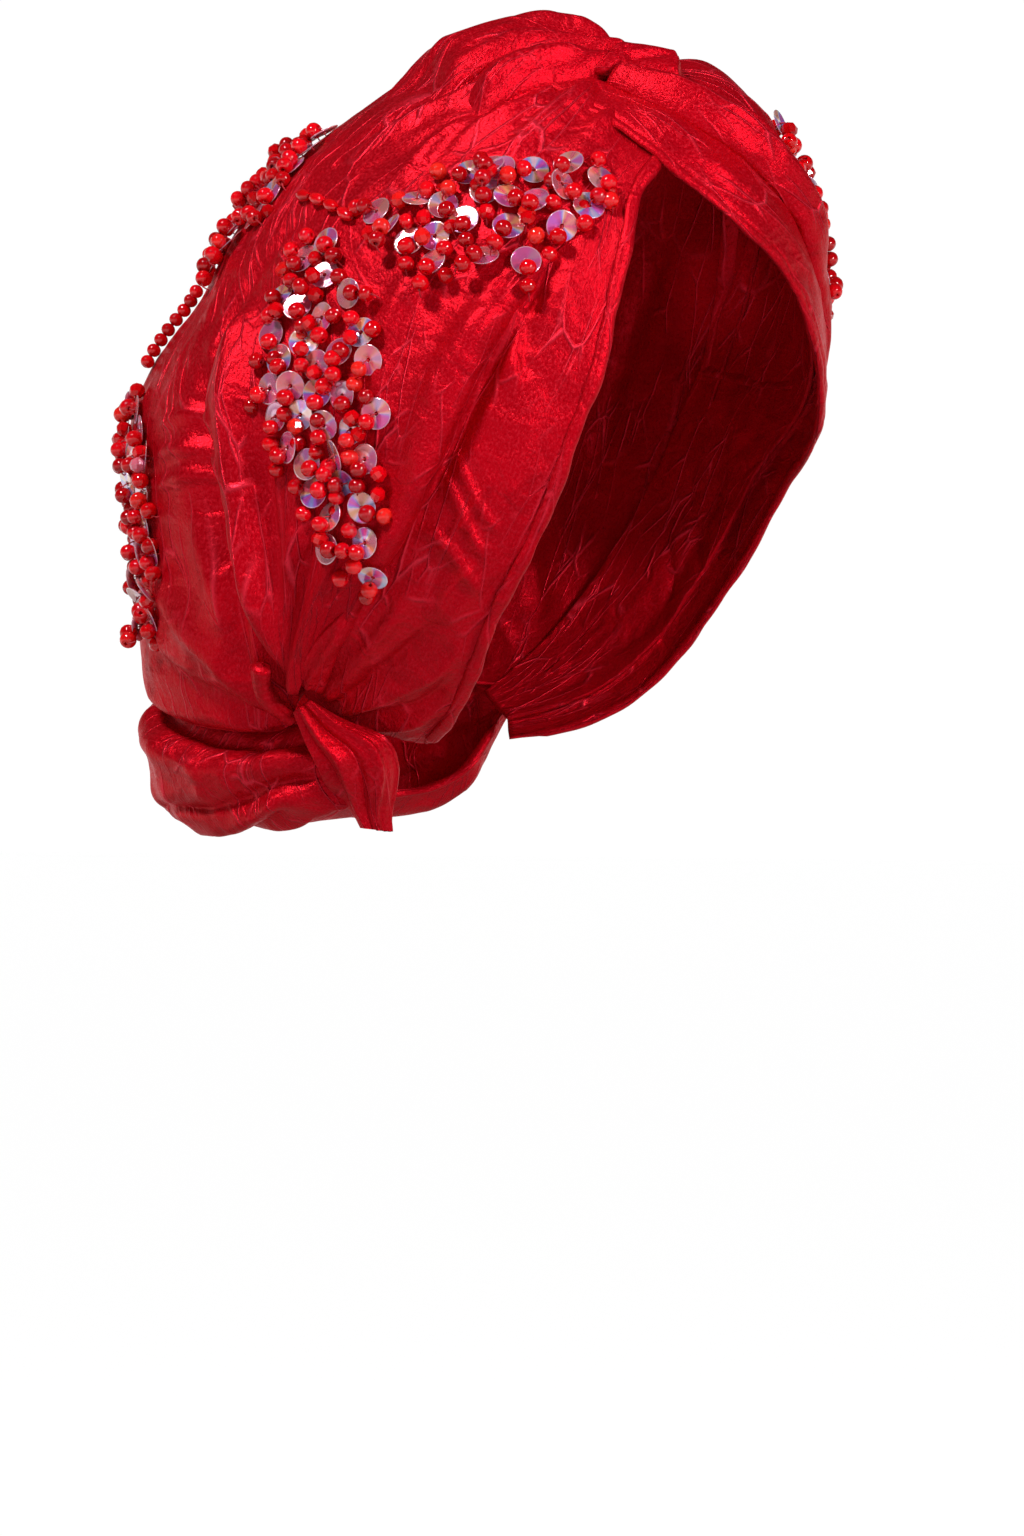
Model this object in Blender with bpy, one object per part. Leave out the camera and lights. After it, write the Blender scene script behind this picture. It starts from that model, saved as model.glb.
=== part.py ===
# Pre-tied turban of crushed red satin with bead and sequin embroidery.
# Metres, +Z up. The wearer faces -Y, so the wearer's right side is at -X.
# The origin is the middle of the head that the turban sits on.
import math

import bmesh
import bpy
import numpy as np
from mathutils import Vector
from mathutils import geometry
from mathutils.bvhtree import BVHTree

MM = 0.001

# Head form under the cloth. Its outline is drawn on an upright plane that is turned
# 62 degrees from the front towards the wearer's right, and its depth is across that plane.
OUTLINE_TURN = -62.0
HALF_DEPTH = 84.0
DEPTH_SLANT = 0.20

# Reach of the form from the head's middle, in mm, by angle in that plane.
# Angle 0 points to the brow, 90 to the crown and 180 to the back of the head.
FORM_OUTLINE = {
    "angle": (-180, -170, -160, -150, -142, -130, -120, -110, -100, -90, -60, -30,
              0, 15, 25, 35, 45, 55, 65, 75, 85, 95, 105, 115, 130, 145, 160, 170),
    "reach": (102, 104, 107, 113, 120, 119, 110, 104, 100, 98, 103, 98,
              92, 95, 99, 104, 108, 109, 106, 103.5, 104, 100, 95.5, 92, 89.5, 88.5, 89, 95),
}

# Cloth
CLOTH = 1.3
LAYER_STEP = 1.8

# Embroidery
SEQUIN_DIAMETER = 8.0
SEQUIN_THICK = 0.9
GROUND_THICK = 0.8
GROUND_GAP = 0.45
BEAD_DIAMETER = 4.7
SEQUIN_PITCH = 9.9
BEAD_SIDES = 10

RED = (0.56, 0.006, 0.022, 1.0)
DARK_RED = (0.42, 0.004, 0.016, 1.0)
PEARL = (0.80, 0.62, 0.72, 1.0)
RUBY = (0.50, 0.004, 0.012, 1.0)

# Guide lines of each sheet of cloth. A row is one fold line, from the crown down to the nape.
# "at" is the line's place across the sheet, and each point is (bearing, rise) in degrees:
# bearing from the front round to the wearer's right, rise above the head's middle.
CAP_LINES = (
    {"at": 0.00, "line": ((26, 49), (32, 38), (41, 31), (49, 25), (55, 17), (63, 4), (71, -13),
                          (80, -28), (88, -36), (95, -42.5))},
    {"at": 0.10, "line": ((31, 57), (55, 45), (74, 27), (80, 9), (86, -14), (94, -31), (104, -43.5))},
    {"at": 0.18, "line": ((36, 64), (88, 57), (108, 39), (100, 15), (98, -8), (101, -29), (114, -50))},
    {"at": 0.25, "line": ((42, 69), (132, 62), (126, 36), (117, 12), (113, -12), (110, -32), (120, -52.5))},
    {"at": 0.28, "line": ((45, 72), (142, 62), (134, 36), (124, 14), (119, -14), (116, -35), (124, -54))},
    {"at": 0.31, "line": ((49, 74), (150, 62), (141, 36), (131, 14), (124, -14), (121, -37), (128, -55.5))},
    {"at": 0.39, "line": ((60, 78), (163, 63), (158, 36), (152, 12), (148, -12), (145, -33), (143, -50))},
    {"at": 0.51, "line": ((70, 83), (180, 66), (180, 36), (180, 10), (176, -14), (168, -38))},
    {"at": 0.61, "line": ((-60, 80), (-150, 63), (-152, 36), (-155, 10), (-158, -14), (-164, -39))},
    {"at": 0.77, "line": ((-30, 72), (-96, 58), (-114, 38), (-116, 14), (-122, -12), (-134, -49))},
    {"at": 0.885, "line": ((-20, 64), (-60, 47), (-78, 27), (-86, 8), (-94, -14), (-103, -36), (-115, -57))},
    {"at": 1.00, "line": ((-14, 55), (-32, 41), (-42, 31), (-50, 22), (-57, 13), (-64, 1), (-72, -13),
                          (-80, -28), (-89, -41), (-100, -54))},
)
RIGHT_PANEL_LINES = (
    {"at": 0.0, "line": ((22, 45), (26, 40), (33, 34), (37, 25), (40, 16), (43, 4), (47, -7), (50, -17),
                         (55, -30), (61, -42), (68, -56), (82, -68), (106, -74))},
    {"at": 1.0, "line": ((33, 53), (40, 46), (48, 40), (55, 32), (61, 24), (69, 12), (77, -2),
                         (83, -15), (91, -27), (99, -35), (108, -43), (117, -50), (122, -56))},
)
LEFT_PANEL_LINES = (
    {"at": 0.0, "line": ((6, 31), (0, 26), (-6, 20), (-12, 13), (-19, 7), (-28, 1), (-38, -4), (-48, -11),
                         (-57, -24), (-64, -37), (-72, -50), (-87, -61), (-110, -67))},
    {"at": 1.0, "line": ((-18, 50), (-28, 45), (-38, 39), (-46, 33), (-54, 27), (-62, 18), (-69, 8),
                         (-76, -5), (-83, -17), (-91, -30), (-99, -41), (-109, -51), (-120, -58))},
)
BAND_LINES = (
    {"at": 0.0, "line": ((44, 60), (40, 56), (35, 51), (31, 46), (28, 41), (24, 35), (19, 30), (14, 26),
                         (9, 23), (3, 18), (-4, 11), (-11, 5), (-18, -1), (-27, -6), (-37, -11),
                         (-45, -19), (-53, -31), (-60, -44), (-68, -57), (-84, -67), (-108, -71))},
    {"at": 1.0, "line": ((41, 63), (34, 62), (27, 59), (23, 54), (20, 49), (17, 44), (12, 40), (7, 35),
                         (2, 31), (-4, 25), (-10, 18), (-17, 11), (-25, 5), (-34, 0), (-44, -5),
                         (-53, -12), (-61, -25), (-68, -38), (-76, -50), (-90, -60), (-111, -65))},
)
LEFT_CROWN_LINES = (
    {"at": 0.0, "line": ((20, 56), (16, 51), (11, 46), (6, 40), (0, 35), (-8, 27), (-16, 18), (-24, 11.5), (-33, 5))},
    {"at": 0.5, "line": ((12, 60), (2, 57), (-5, 53), (-12, 47), (-19, 40), (-26, 32), (-34, 23), (-42, 14), (-49, 7))},
    {"at": 1.0, "line": ((4, 65), (-14, 66), (-27, 61), (-38, 54), (-46, 46), (-52, 38), (-58, 29), (-62, 20), (-66, 11))},
)
FRONT_ROLL_LINES = (
    {"at": 0.0, "line": ((28, 57), (25, 52), (22, 48), (18, 43), (12, 38), (7, 34), (1, 29), (-5, 23),
                         (-12, 16), (-19, 9), (-28, 3))},
    {"at": 1.0, "line": ((19, 59), (15, 54), (11, 50), (7, 45), (2, 41), (-4, 36), (-10, 31), (-16, 25),
                         (-23, 18), (-29, 11), (-35, 5))},
)
FRONT_TWIST_LINES = (
    {"at": 0.0, "line": ((22, 60), (32, 59), (39, 59), (46, 59), (53, 58), (60, 56), (67, 52), (73, 48))},
    {"at": 1.0, "line": ((16, 63), (24, 67), (34, 70), (47, 71), (58, 70), (69, 66), (76, 60), (78, 51))},
)
CROWN_TWIST_LINES = (
    {"at": 0.0, "line": ((13, 62), (22, 65), (32, 68), (46, 69), (60, 68), (73, 65), (88, 60), (102, 53))},
    {"at": 0.5, "line": ((6, 64), (16, 72), (30, 78), (60, 82), (96, 79), (108, 71), (112, 62), (110, 54))},
    {"at": 1.0, "line": ((0, 66), (-10, 76), (-50, 84), (-150, 85), (160, 79), (136, 70), (124, 62), (118, 54))},
)
TOP_PLEAT_LINES = (
    {"at": 0.0, "line": ((26, 58.5), (18, 56), (10, 52))},
    {"at": 1.0, "line": ((12, 60.5), (7, 60.5), (1, 58))},
)
FLAP_LINES = (
    {"at": 0.0, "line": ((93, -37.5), (100, -40.5), (108, -44), (116, -48.5))},
    {"at": 1.0, "line": ((96, -43), (102, -47), (108, -51), (114, -54))},
)

# Pleats of a sheet. A row is one pleat: its middle across the sheet at the top and at the bottom,
# its half width as a share of the sheet, its height in mm, and the stretch of the sheet it runs along.
CAP_PLEATS = (
    {"name": "lap over the back", "top": 0.260, "foot": 0.262, "half": 0.026, "high": 3.8, "run": (0.50, 0.90)},
    {"name": "groove behind it", "top": 0.312, "foot": 0.310, "half": 0.016, "high": -2.6, "run": (0.55, 0.90)},
    {"name": "front lap", "top": 0.02, "foot": 0.02, "half": 0.030, "high": 2.0, "run": (0.38, 0.80)},
    {"name": "side hollow", "top": 0.150, "foot": 0.155, "half": 0.025, "high": -1.0, "run": (0.66, 0.92)},
    {"name": "crown pleat 1", "top": 0.09, "foot": 0.055, "half": 0.025, "high": 1.8, "run": (0.05, 0.30)},
    {"name": "crown pleat 2", "top": 0.175, "foot": 0.155, "half": 0.025, "high": 2.0, "run": (0.08, 0.30)},
    {"name": "back swag 1", "top": 0.355, "foot": 0.39, "half": 0.025, "high": 1.2, "run": (0.72, 0.90)},
    {"name": "back swag 2", "top": 0.46, "foot": 0.51, "half": 0.040, "high": 1.8, "run": (0.55, 0.90)},
    {"name": "back swag 3", "top": 0.60, "foot": 0.585, "half": 0.040, "high": 1.6, "run": (0.55, 0.90)},
    {"name": "nape puff", "top": 0.49, "foot": 0.49, "half": 0.180, "high": 4.0, "run": (0.82, 1.20)},
    {"name": "left lap", "top": 0.965, "foot": 0.965, "half": 0.035, "high": 2.0, "run": (0.45, 0.88)},
    {"name": "left hollow", "top": 0.80, "foot": 0.80, "half": 0.040, "high": -1.0, "run": (0.55, 0.95)},
)
RIGHT_PANEL_PLEATS = (
    {"name": "rolled hem", "top": 0.05, "foot": 0.05, "half": 0.10, "high": 1.1, "run": (0.00, 0.90)},
    {"name": "crease fan 1", "top": 0.26, "foot": 0.34, "half": 0.09, "high": 1.3, "run": (0.45, 0.85)},
)
LEFT_PANEL_PLEATS = (
    {"name": "crease 1", "top": 0.36, "foot": 0.36, "half": 0.10, "high": 1.1, "run": (0.35, 0.85)},
)
BAND_PLEATS = (
    {"name": "rolled hem", "top": 0.06, "foot": 0.06, "half": 0.14, "high": 0.7, "run": (0.10, 1.00)},
)
LEFT_CROWN_PLEATS = (
    {"name": "corner", "top": 0.62, "foot": 0.62, "half": 0.20, "high": 3.2, "run": (0.06, 0.42)},
    {"name": "rear fold", "top": 0.84, "foot": 0.84, "half": 0.10, "high": 1.4, "run": (0.20, 0.90)},
)
FRONT_ROLL_PLEATS = (
    {"name": "roll", "top": 0.42, "foot": 0.45, "half": 0.34, "high": 4.2, "run": (0.02, 0.86)},
)
FRONT_TWIST_PLEATS = (
    {"name": "roll", "top": 0.36, "foot": 0.42, "half": 0.26, "high": 5.2, "run": (0.04, 0.86)},
    {"name": "second fold", "top": 0.78, "foot": 0.74, "half": 0.12, "high": 1.2, "run": (0.10, 0.60)},
)
CROWN_TWIST_PLEATS = (
    {"name": "front edge", "top": 0.16, "foot": 0.14, "half": 0.13, "high": 3.0, "run": (0.06, 0.86)},
    {"name": "top of the crown", "top": 0.50, "foot": 0.46, "half": 0.20, "high": 4.0, "run": (0.12, 0.90)},
    {"name": "far fold", "top": 0.84, "foot": 0.80, "half": 0.12, "high": 2.4, "run": (0.12, 0.86)},
)
TOP_PLEAT_PLEATS = (
    {"name": "pinch", "top": 0.50, "foot": 0.50, "half": 0.30, "high": 2.4, "run": (-0.10, 0.95)},
)
FLAP_PLEATS = (
    {"name": "turned edge", "top": 0.20, "foot": 0.25, "half": 0.22, "high": 1.5, "run": (-0.10, 1.05)},
)

# Pouch of slack cloth behind the nape. A row is one upright section at a bearing, as five
# points from under the cap's lower edge, round the outside and in to the neck.
# Each point is (distance out from the upright axis, height), in mm.
POUCH_SECTIONS = (
    {"bearing": 127, "profile": ((50, -90), (60, -97), (63, -104), (60, -113), (51, -116), (43, -108))},
    {"bearing": 134, "profile": ((55, -90), (66, -97.5), (70, -105), (66, -115), (55, -118), (45, -109))},
    {"bearing": 145, "profile": ((68, -88), (81, -96), (84, -104), (81, -116), (66, -119), (49, -110))},
    {"bearing": 157, "profile": ((82, -83), (94, -91), (97, -100), (95, -115), (78, -119), (53, -110))},
    {"bearing": 171, "profile": ((91, -75), (103, -83.5), (101, -98), (98, -115), (82, -119), (55, -110))},
    {"bearing": 188, "profile": ((86, -74), (100, -82.5), (99, -98), (95, -114), (79, -118), (54, -110))},
    {"bearing": 205, "profile": ((74, -72), (88, -81), (91, -97), (87, -112), (72, -118), (51, -110))},
    {"bearing": 220, "profile": ((60, -73), (74, -81), (78, -97), (74, -111), (60, -116), (46, -108))},
    {"bearing": 235, "profile": ((46, -76), (58, -83), (62, -96), (58, -110), (48, -114), (39, -106))},
)

# Gathered end of the wrap at the nape, right of the middle. A row is one section across it:
# the middle as (bearing, distance out, height), the half width and half depth in mm, and its turn.
TAIL_SECTIONS = (
    {"bearing": 115, "out": 66.0, "high": -84.8, "wide": 2.6, "deep": 2.4, "turn": 35},
    {"bearing": 113, "out": 60.0, "high": -92.0, "wide": 5.4, "deep": 3.2, "turn": 32},
    {"bearing": 109, "out": 53.0, "high": -98.5, "wide": 9.0, "deep": 3.8, "turn": 27},
    {"bearing": 110, "out": 48.0, "high": -104.5, "wide": 9.0, "deep": 4.4, "turn": 18},
    {"bearing": 113, "out": 44.5, "high": -110.0, "wide": 6.9, "deep": 4.4, "turn": 6},
    {"bearing": 116, "out": 42.0, "high": -115.0, "wide": 5.6, "deep": 4.0, "turn": -8},
    {"bearing": 116, "out": 40.0, "high": -120.0, "wide": 4.8, "deep": 3.4, "turn": -20},
)
TAIL_PLEATS = 3
TAIL_PLEAT_DEPTH = 0.16

# Rolled loop beside the gather, as (bearing, rise) of its middle line
LOOP_LINE = ((117, -43), (120, -46), (122, -49), (123, -52), (123, -55))
LOOP_RADIUS = 2.5

# Embroidered leaves. A row is one place along the leaf's middle line, from its root to its tip,
# as (bearing, rise), and the leaf's width there in mm.
FRONT_LEAF = (
    {"mid": (91, 35), "wide": 8},
    {"mid": (83, 35), "wide": 16},
    {"mid": (75, 34), "wide": 28},
    {"mid": (66, 32), "wide": 36},
    {"mid": (58, 32), "wide": 36},
    {"mid": (50, 34), "wide": 27},
    {"mid": (42, 36), "wide": 17},
    {"mid": (36, 36), "wide": 8},
)
SIDE_LEAF = (
    {"mid": (109, 34), "wide": 9},
    {"mid": (105, 28), "wide": 19},
    {"mid": (101, 20), "wide": 32},
    {"mid": (98, 9), "wide": 38},
    {"mid": (95, -2), "wide": 37},
    {"mid": (93, -12), "wide": 31},
    {"mid": (91, -22), "wide": 23},
    {"mid": (89, -29), "wide": 15},
    {"mid": (87, -35), "wide": 8},
)
UPPER_LEAF = (
    {"mid": (150, 61), "wide": 10},
    {"mid": (149, 53), "wide": 26},
    {"mid": (149, 45), "wide": 34},
    {"mid": (151, 36), "wide": 28},
    {"mid": (154, 28), "wide": 11},
)
LOWER_LEAF = (
    {"mid": (157, 4), "wide": 10},
    {"mid": (153, -4), "wide": 26},
    {"mid": (150, -12), "wide": 33},
    {"mid": (149, -20), "wide": 30},
    {"mid": (149, -27), "wide": 25},
    {"mid": (149, -33), "wide": 15},
)
LEFT_LEAF = (
    {"mid": (-20, 46), "wide": 9},
    {"mid": (-21, 40), "wide": 21},
    {"mid": (-24, 32), "wide": 28},
    {"mid": (-28, 25), "wide": 27},
    {"mid": (-34, 17), "wide": 17},
    {"mid": (-38, 12), "wide": 8},
)

# Strings of beads, as (bearing, rise) along the thread
LINK_LINE = ((120, 43), (112, 42), (103, 39.5), (95, 36))
LINK_TUBES = 4
LINK_RADIUS = 1.4
BACK_ROW_LINE = ((158, 24), (159, 19), (158, 13), (157, 8))
BACK_ROW_BEADS = 8


def direction(bearing, rise):
    b = math.radians(bearing)
    r = math.radians(rise)
    return np.array([-math.sin(b) * math.cos(r), -math.cos(b) * math.cos(r), math.sin(r)])


TURN = math.radians(OUTLINE_TURN)
ACROSS = np.array([math.cos(TURN), math.sin(TURN), 0.0])
TOWARDS = np.array([math.sin(TURN), -math.cos(TURN), 0.0])
UP = np.array([0.0, 0.0, 1.0])


def curve_value(x, knots, values):
    """Smooth curve through (knots, values) at x, with the slope of the neighbouring points."""
    knots = np.asarray(knots, float)
    values = np.asarray(values, float)
    x = np.asarray(x, float)
    if values.ndim == 1:
        return curve_value(x, knots, values[:, None])[..., 0]
    i = np.clip(np.searchsorted(knots, x, side="right") - 1, 0, len(knots) - 2)
    span = np.diff(knots)
    chord = np.diff(values, axis=0) / span[:, None]
    slope = np.empty_like(values)
    slope[0] = chord[0]
    slope[-1] = chord[-1]
    if len(knots) > 2:
        weight = (span[1:] / (span[1:] + span[:-1]))[:, None]
        slope[1:-1] = weight * chord[:-1] + (1 - weight) * chord[1:]
    h = span[i]
    t = ((x - knots[i]) / h)[..., None]
    h = h[..., None]
    return ((2 * t**3 - 3 * t**2 + 1) * values[i] + (t**3 - 2 * t**2 + t) * h * slope[i]
            + (-2 * t**3 + 3 * t**2) * values[i + 1] + (t**3 - t**2) * h * slope[i + 1])


def form_reach(d):
    """Distance in mm from the head's middle to the form, along unit directions d."""
    u = d @ ACROSS
    v = d @ UP
    w = d @ TOWARDS - DEPTH_SLANT * u
    angle = np.degrees(np.arctan2(v, u))
    knots = np.array(FORM_OUTLINE["angle"], float)
    reach = np.array(FORM_OUTLINE["reach"], float)
    knots = np.concatenate([knots - 360, knots, knots + 360])
    outline = curve_value(angle, knots, np.tile(reach, 3))
    return 1 / np.sqrt((np.hypot(u, v) / outline) ** 2 + (w / HALF_DEPTH) ** 2)


def along(line, shares):
    """Unit directions at even shares of the way along a line of (bearing, rise) points."""
    points = np.array([direction(*p) for p in line])
    steps = np.linalg.norm(np.diff(points, axis=0), axis=1)
    knots = np.concatenate([[0], np.cumsum(steps)])
    fine = np.linspace(0, knots[-1], 200)
    path = curve_value(fine, knots, points)
    path /= np.linalg.norm(path, axis=1)[:, None]
    run = np.concatenate([[0], np.cumsum(np.linalg.norm(np.diff(path, axis=0), axis=1))])
    place = np.interp(np.asarray(shares, float) * run[-1], run, fine)
    path = curve_value(place, knots, points)
    return path / np.linalg.norm(path, axis=1)[:, None]


def lay(lines, across, down):
    """Directions of a sheet's points, as a grid of across by down."""
    lofted = np.array([along(row["line"], down) for row in lines])
    at = np.array([row["at"] for row in lines], float)
    grid = curve_value(np.asarray(across, float), at, lofted.reshape(len(at), -1))
    grid = grid.reshape(len(across), len(down), 3)
    return grid / np.linalg.norm(grid, axis=2)[..., None]


def smooth_step(x):
    x = np.clip(x, 0, 1)
    return x * x * (3 - 2 * x)


def pleat_height(pleats, s, t, fade=0.12):
    """Height in mm that the pleats add at (s across, t down) of a sheet."""
    total = np.zeros(np.broadcast(s, t).shape)
    for row in pleats:
        middle = row["top"] + (row["foot"] - row["top"]) * t
        start, end = row["run"]
        ends = smooth_step((t - start) / fade) * smooth_step((end - t) / fade)
        total = total + row["high"] * np.exp(-(((s - middle) / row["half"]) ** 2)) * ends
    return total


def material(name, colour, roughness, transmission=0.0):
    made = bpy.data.materials.new(name)
    made.use_nodes = True
    shader = made.node_tree.nodes["Principled BSDF"]
    shader.inputs["Base Color"].default_value = colour
    shader.inputs["Roughness"].default_value = roughness
    shader.inputs["Metallic"].default_value = 0.0
    shader.inputs["Transmission Weight"].default_value = transmission
    return made


def add(name, points, faces, colour, roughness, transmission=0.0):
    """One named solid from points in mm."""
    mesh = bpy.data.meshes.new(name)
    mesh.from_pydata([tuple(float(c) * MM for c in p) for p in points], [], [tuple(map(int, f)) for f in faces])
    mesh.materials.append(material(name + "_colour", colour, roughness, transmission))
    mesh.shade_smooth()
    mesh.set_sharp_from_angle(angle=math.radians(50))
    made = bpy.data.objects.new(name, mesh)
    bpy.context.scene.collection.objects.link(made)
    return made


def shell_faces(n, m, ring=False):
    """Faces of a closed wall between an outer and an inner grid of n by m points."""
    faces = []
    top = n * m
    wrap = n if ring else n - 1
    for i in range(wrap):
        k = (i + 1) % n
        for j in range(m - 1):
            a, b, c, d = i * m + j, k * m + j, k * m + j + 1, i * m + j + 1
            faces.append((a, b, c, d))
            faces.append((top + d, top + c, top + b, top + a))
        for j in (0, m - 1):
            a, b = i * m + j, k * m + j
            faces.append((b, a, top + a, top + b) if j == 0 else (a, b, top + b, top + a))
    if not ring:
        for j in range(m - 1):
            a, b = j, j + 1
            faces.append((a, b, top + b, top + a))
            a, b = (n - 1) * m + j, (n - 1) * m + j + 1
            faces.append((b, a, top + a, top + b))
    return faces


def outward(points, ring=False):
    """Unit normals of a grid of points, facing away from the sheet's inside."""
    if ring:
        du = np.roll(points, -1, axis=0) - np.roll(points, 1, axis=0)
    else:
        du = np.gradient(points, axis=0)
    dv = np.gradient(points, axis=1)
    n = np.cross(du, dv)
    return n / np.maximum(np.linalg.norm(n, axis=2), 1e-9)[..., None]


def facing_out(faces, points):
    """The faces, turned round if they enclose a negative volume."""
    volume = 0.0
    for f in faces:
        for k in range(1, len(f) - 1):
            volume += np.dot(points[f[0]], np.cross(points[f[k]], points[f[k + 1]]))
    return faces if volume > 0 else [tuple(reversed(f)) for f in faces]


def wall(name, outer, thick, colour, roughness, ring=False, hint=None):
    """A cloth wall: the outer grid, and an inner grid that is one thickness below it."""
    normal = outward(outer, ring)
    away = outer if hint is None else outer - hint
    if np.sum(normal * away) < 0:
        normal = -normal
    inner = outer - thick * normal
    n, m = outer.shape[:2]
    points = np.concatenate([outer.reshape(-1, 3), inner.reshape(-1, 3)])
    faces = facing_out(shell_faces(n, m, ring), points)
    return add(name, points, faces, colour, roughness)


def sheet(name, lines, pleats, layer, across, down, crowd=(), colour=RED):
    """A sheet of cloth laid over the form, `layer` cloths up, with its pleats."""
    s = np.unique(np.concatenate([np.linspace(0, 1, across), np.asarray(crowd, float)]))
    t = np.linspace(0, 1, down)
    grid = lay(lines, s, t)
    height = CLOTH + LAYER_STEP * layer + pleat_height(pleats, s[:, None], t[None, :])
    outer = grid * (form_reach(grid) + height)[..., None]
    return wall(name, outer, CLOTH, colour, 0.38)


def pouch(name):
    bearings = np.array([row["bearing"] for row in POUCH_SECTIONS], float)
    profiles = np.array([row["profile"] for row in POUCH_SECTIONS], float)
    across = np.linspace(bearings[0], bearings[-1], 20)
    rows = curve_value(across, bearings, profiles.reshape(len(bearings), -1)).reshape(len(across), -1, 2)
    down = np.linspace(0, 1, 9)
    outer = np.empty((len(across), len(down), 3))
    for i, bearing in enumerate(across):
        knots = np.linspace(0, 1, rows.shape[1])
        p = curve_value(down, knots, rows[i])
        ruffle = 1.6 * math.sin(math.radians(bearing) * 9.0)
        belly = np.sin(np.pi * down)
        out = p[:, 0] + ruffle * belly
        high = p[:, 1] + 0.5 * ruffle * belly
        b = math.radians(bearing)
        outer[i] = np.stack([-math.sin(b) * out, -math.cos(b) * out, high], axis=1)
    hint = np.mean(outer, axis=1, keepdims=True) * np.array([0.97, 0.97, 1.0])
    return wall(name, outer, CLOTH, RED, 0.38, hint=hint)


def tail(name):
    sides = 14
    shares = np.linspace(0, 1, 8)
    columns = ("bearing", "out", "high", "wide", "deep", "turn")
    table = np.array([[row[c] for c in columns] for row in TAIL_SECTIONS], float)
    rows = curve_value(shares, np.linspace(0, 1, len(table)), table)
    outer = np.empty((sides, len(shares), 3))
    inner = np.empty_like(outer)
    for j, (bearing, out, high, wide, deep, turn) in enumerate(rows):
        b = math.radians(bearing)
        middle = np.array([-math.sin(b) * out, -math.cos(b) * out, high])
        side = ACROSS * math.cos(math.radians(turn)) + UP * math.sin(math.radians(turn))
        for i in range(sides):
            a = 2 * math.pi * i / sides
            pleat = 1 + TAIL_PLEAT_DEPTH * shares[j] * math.cos(TAIL_PLEATS * 2 * a + 1.2)
            outer[i, j] = middle + pleat * (wide * math.cos(a) * side + deep * math.sin(a) * TOWARDS)
            inner[i, j] = middle + (pleat * (wide - CLOTH) * math.cos(a) * side
                                    + pleat * (deep - CLOTH) * math.sin(a) * TOWARDS)
    points = np.concatenate([outer.reshape(-1, 3), inner.reshape(-1, 3)])
    faces = facing_out(shell_faces(sides, len(shares), ring=True), points)
    return add(name, points, faces, RED, 0.38)


def rod(name, path, radii, sides, colour, roughness, transmission=0.0):
    """A solid of round sections along a path, closed at both ends."""
    path = np.asarray(path, float)
    tangent = np.gradient(path, axis=0)
    tangent /= np.linalg.norm(tangent, axis=1)[:, None]
    points = []
    for p, t, r in zip(path, tangent, radii):
        out = p / np.linalg.norm(p)
        x = np.cross(t, out)
        x /= np.linalg.norm(x)
        y = np.cross(t, x)
        for i in range(sides):
            a = 2 * math.pi * i / sides
            points.append(p + r * (math.cos(a) * x + math.sin(a) * y))
    count = len(path)
    faces = []
    for j in range(count - 1):
        for i in range(sides):
            k = (i + 1) % sides
            faces.append((j * sides + i, j * sides + k, (j + 1) * sides + k, (j + 1) * sides + i))
    faces.append(tuple(reversed(range(sides))))
    faces.append(tuple(range((count - 1) * sides, count * sides)))
    points = np.array(points)
    return add(name, points, facing_out(faces, points), colour, roughness, transmission)


def seat_on(objects, d, spread=0.0):
    """Distances in mm to the outermost cloth of the objects along unit directions d.

    With a spread, in mm, it is the outermost cloth within that distance, so that a plate bridges a step."""
    trees = []
    for made in objects:
        corners = [v.co / MM for v in made.data.vertices]
        trees.append(BVHTree.FromPolygons(corners, [tuple(p.vertices) for p in made.data.polygons]))
    found = []
    for row in d.reshape(-1, 3):
        best = 0.0
        middle = Vector(row)
        ways = [middle]
        if spread:
            side = middle.orthogonal().normalized() * (spread / 95)
            other = middle.cross(side)
            for k in range(6):
                turn = math.pi * k / 3
                ways.append((middle + side * math.cos(turn) + other * math.sin(turn)).normalized())
        for way in ways:
            for tree in trees:
                hit = tree.ray_cast(way * 300, -way, 300)
                if hit[0] is not None:
                    best = max(best, hit[0].length)
        found.append(best)
    return np.array(found).reshape(d.shape[:-1])


def packed(outline, clear, pitch):
    """Middles of the close-packed rows of sequins that fit inside an outline, `clear` from its edge."""
    edge = np.array(outline, float)
    start = edge
    span = np.roll(edge, -1, axis=0) - edge
    low = edge.min(axis=0)
    high = edge.max(axis=0)
    best = []
    for shift_x in np.linspace(0, pitch, 7)[:-1]:
        for shift_y in np.linspace(0, pitch * 0.87, 5)[:-1]:
            kept = []
            row = 0
            y = low[1] + shift_y
            while y < high[1]:
                x = low[0] + shift_x + (pitch / 2 if row % 2 else 0) - pitch
                while x < high[0]:
                    p = np.array([x, y])
                    share = np.clip(np.sum((p - start) * span, axis=1) / np.sum(span * span, axis=1), 0, 1)
                    gap = np.linalg.norm(start + share[:, None] * span - p, axis=1).min()
                    wide = np.interp(y, edge[: len(edge) // 2, 1], -edge[: len(edge) // 2, 0])
                    if gap > clear and abs(x) < wide:
                        kept.append((x, y))
                    x += pitch
                y += pitch * 0.87
                row += 1
            if len(kept) > len(best):
                best = kept
    return best


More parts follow.
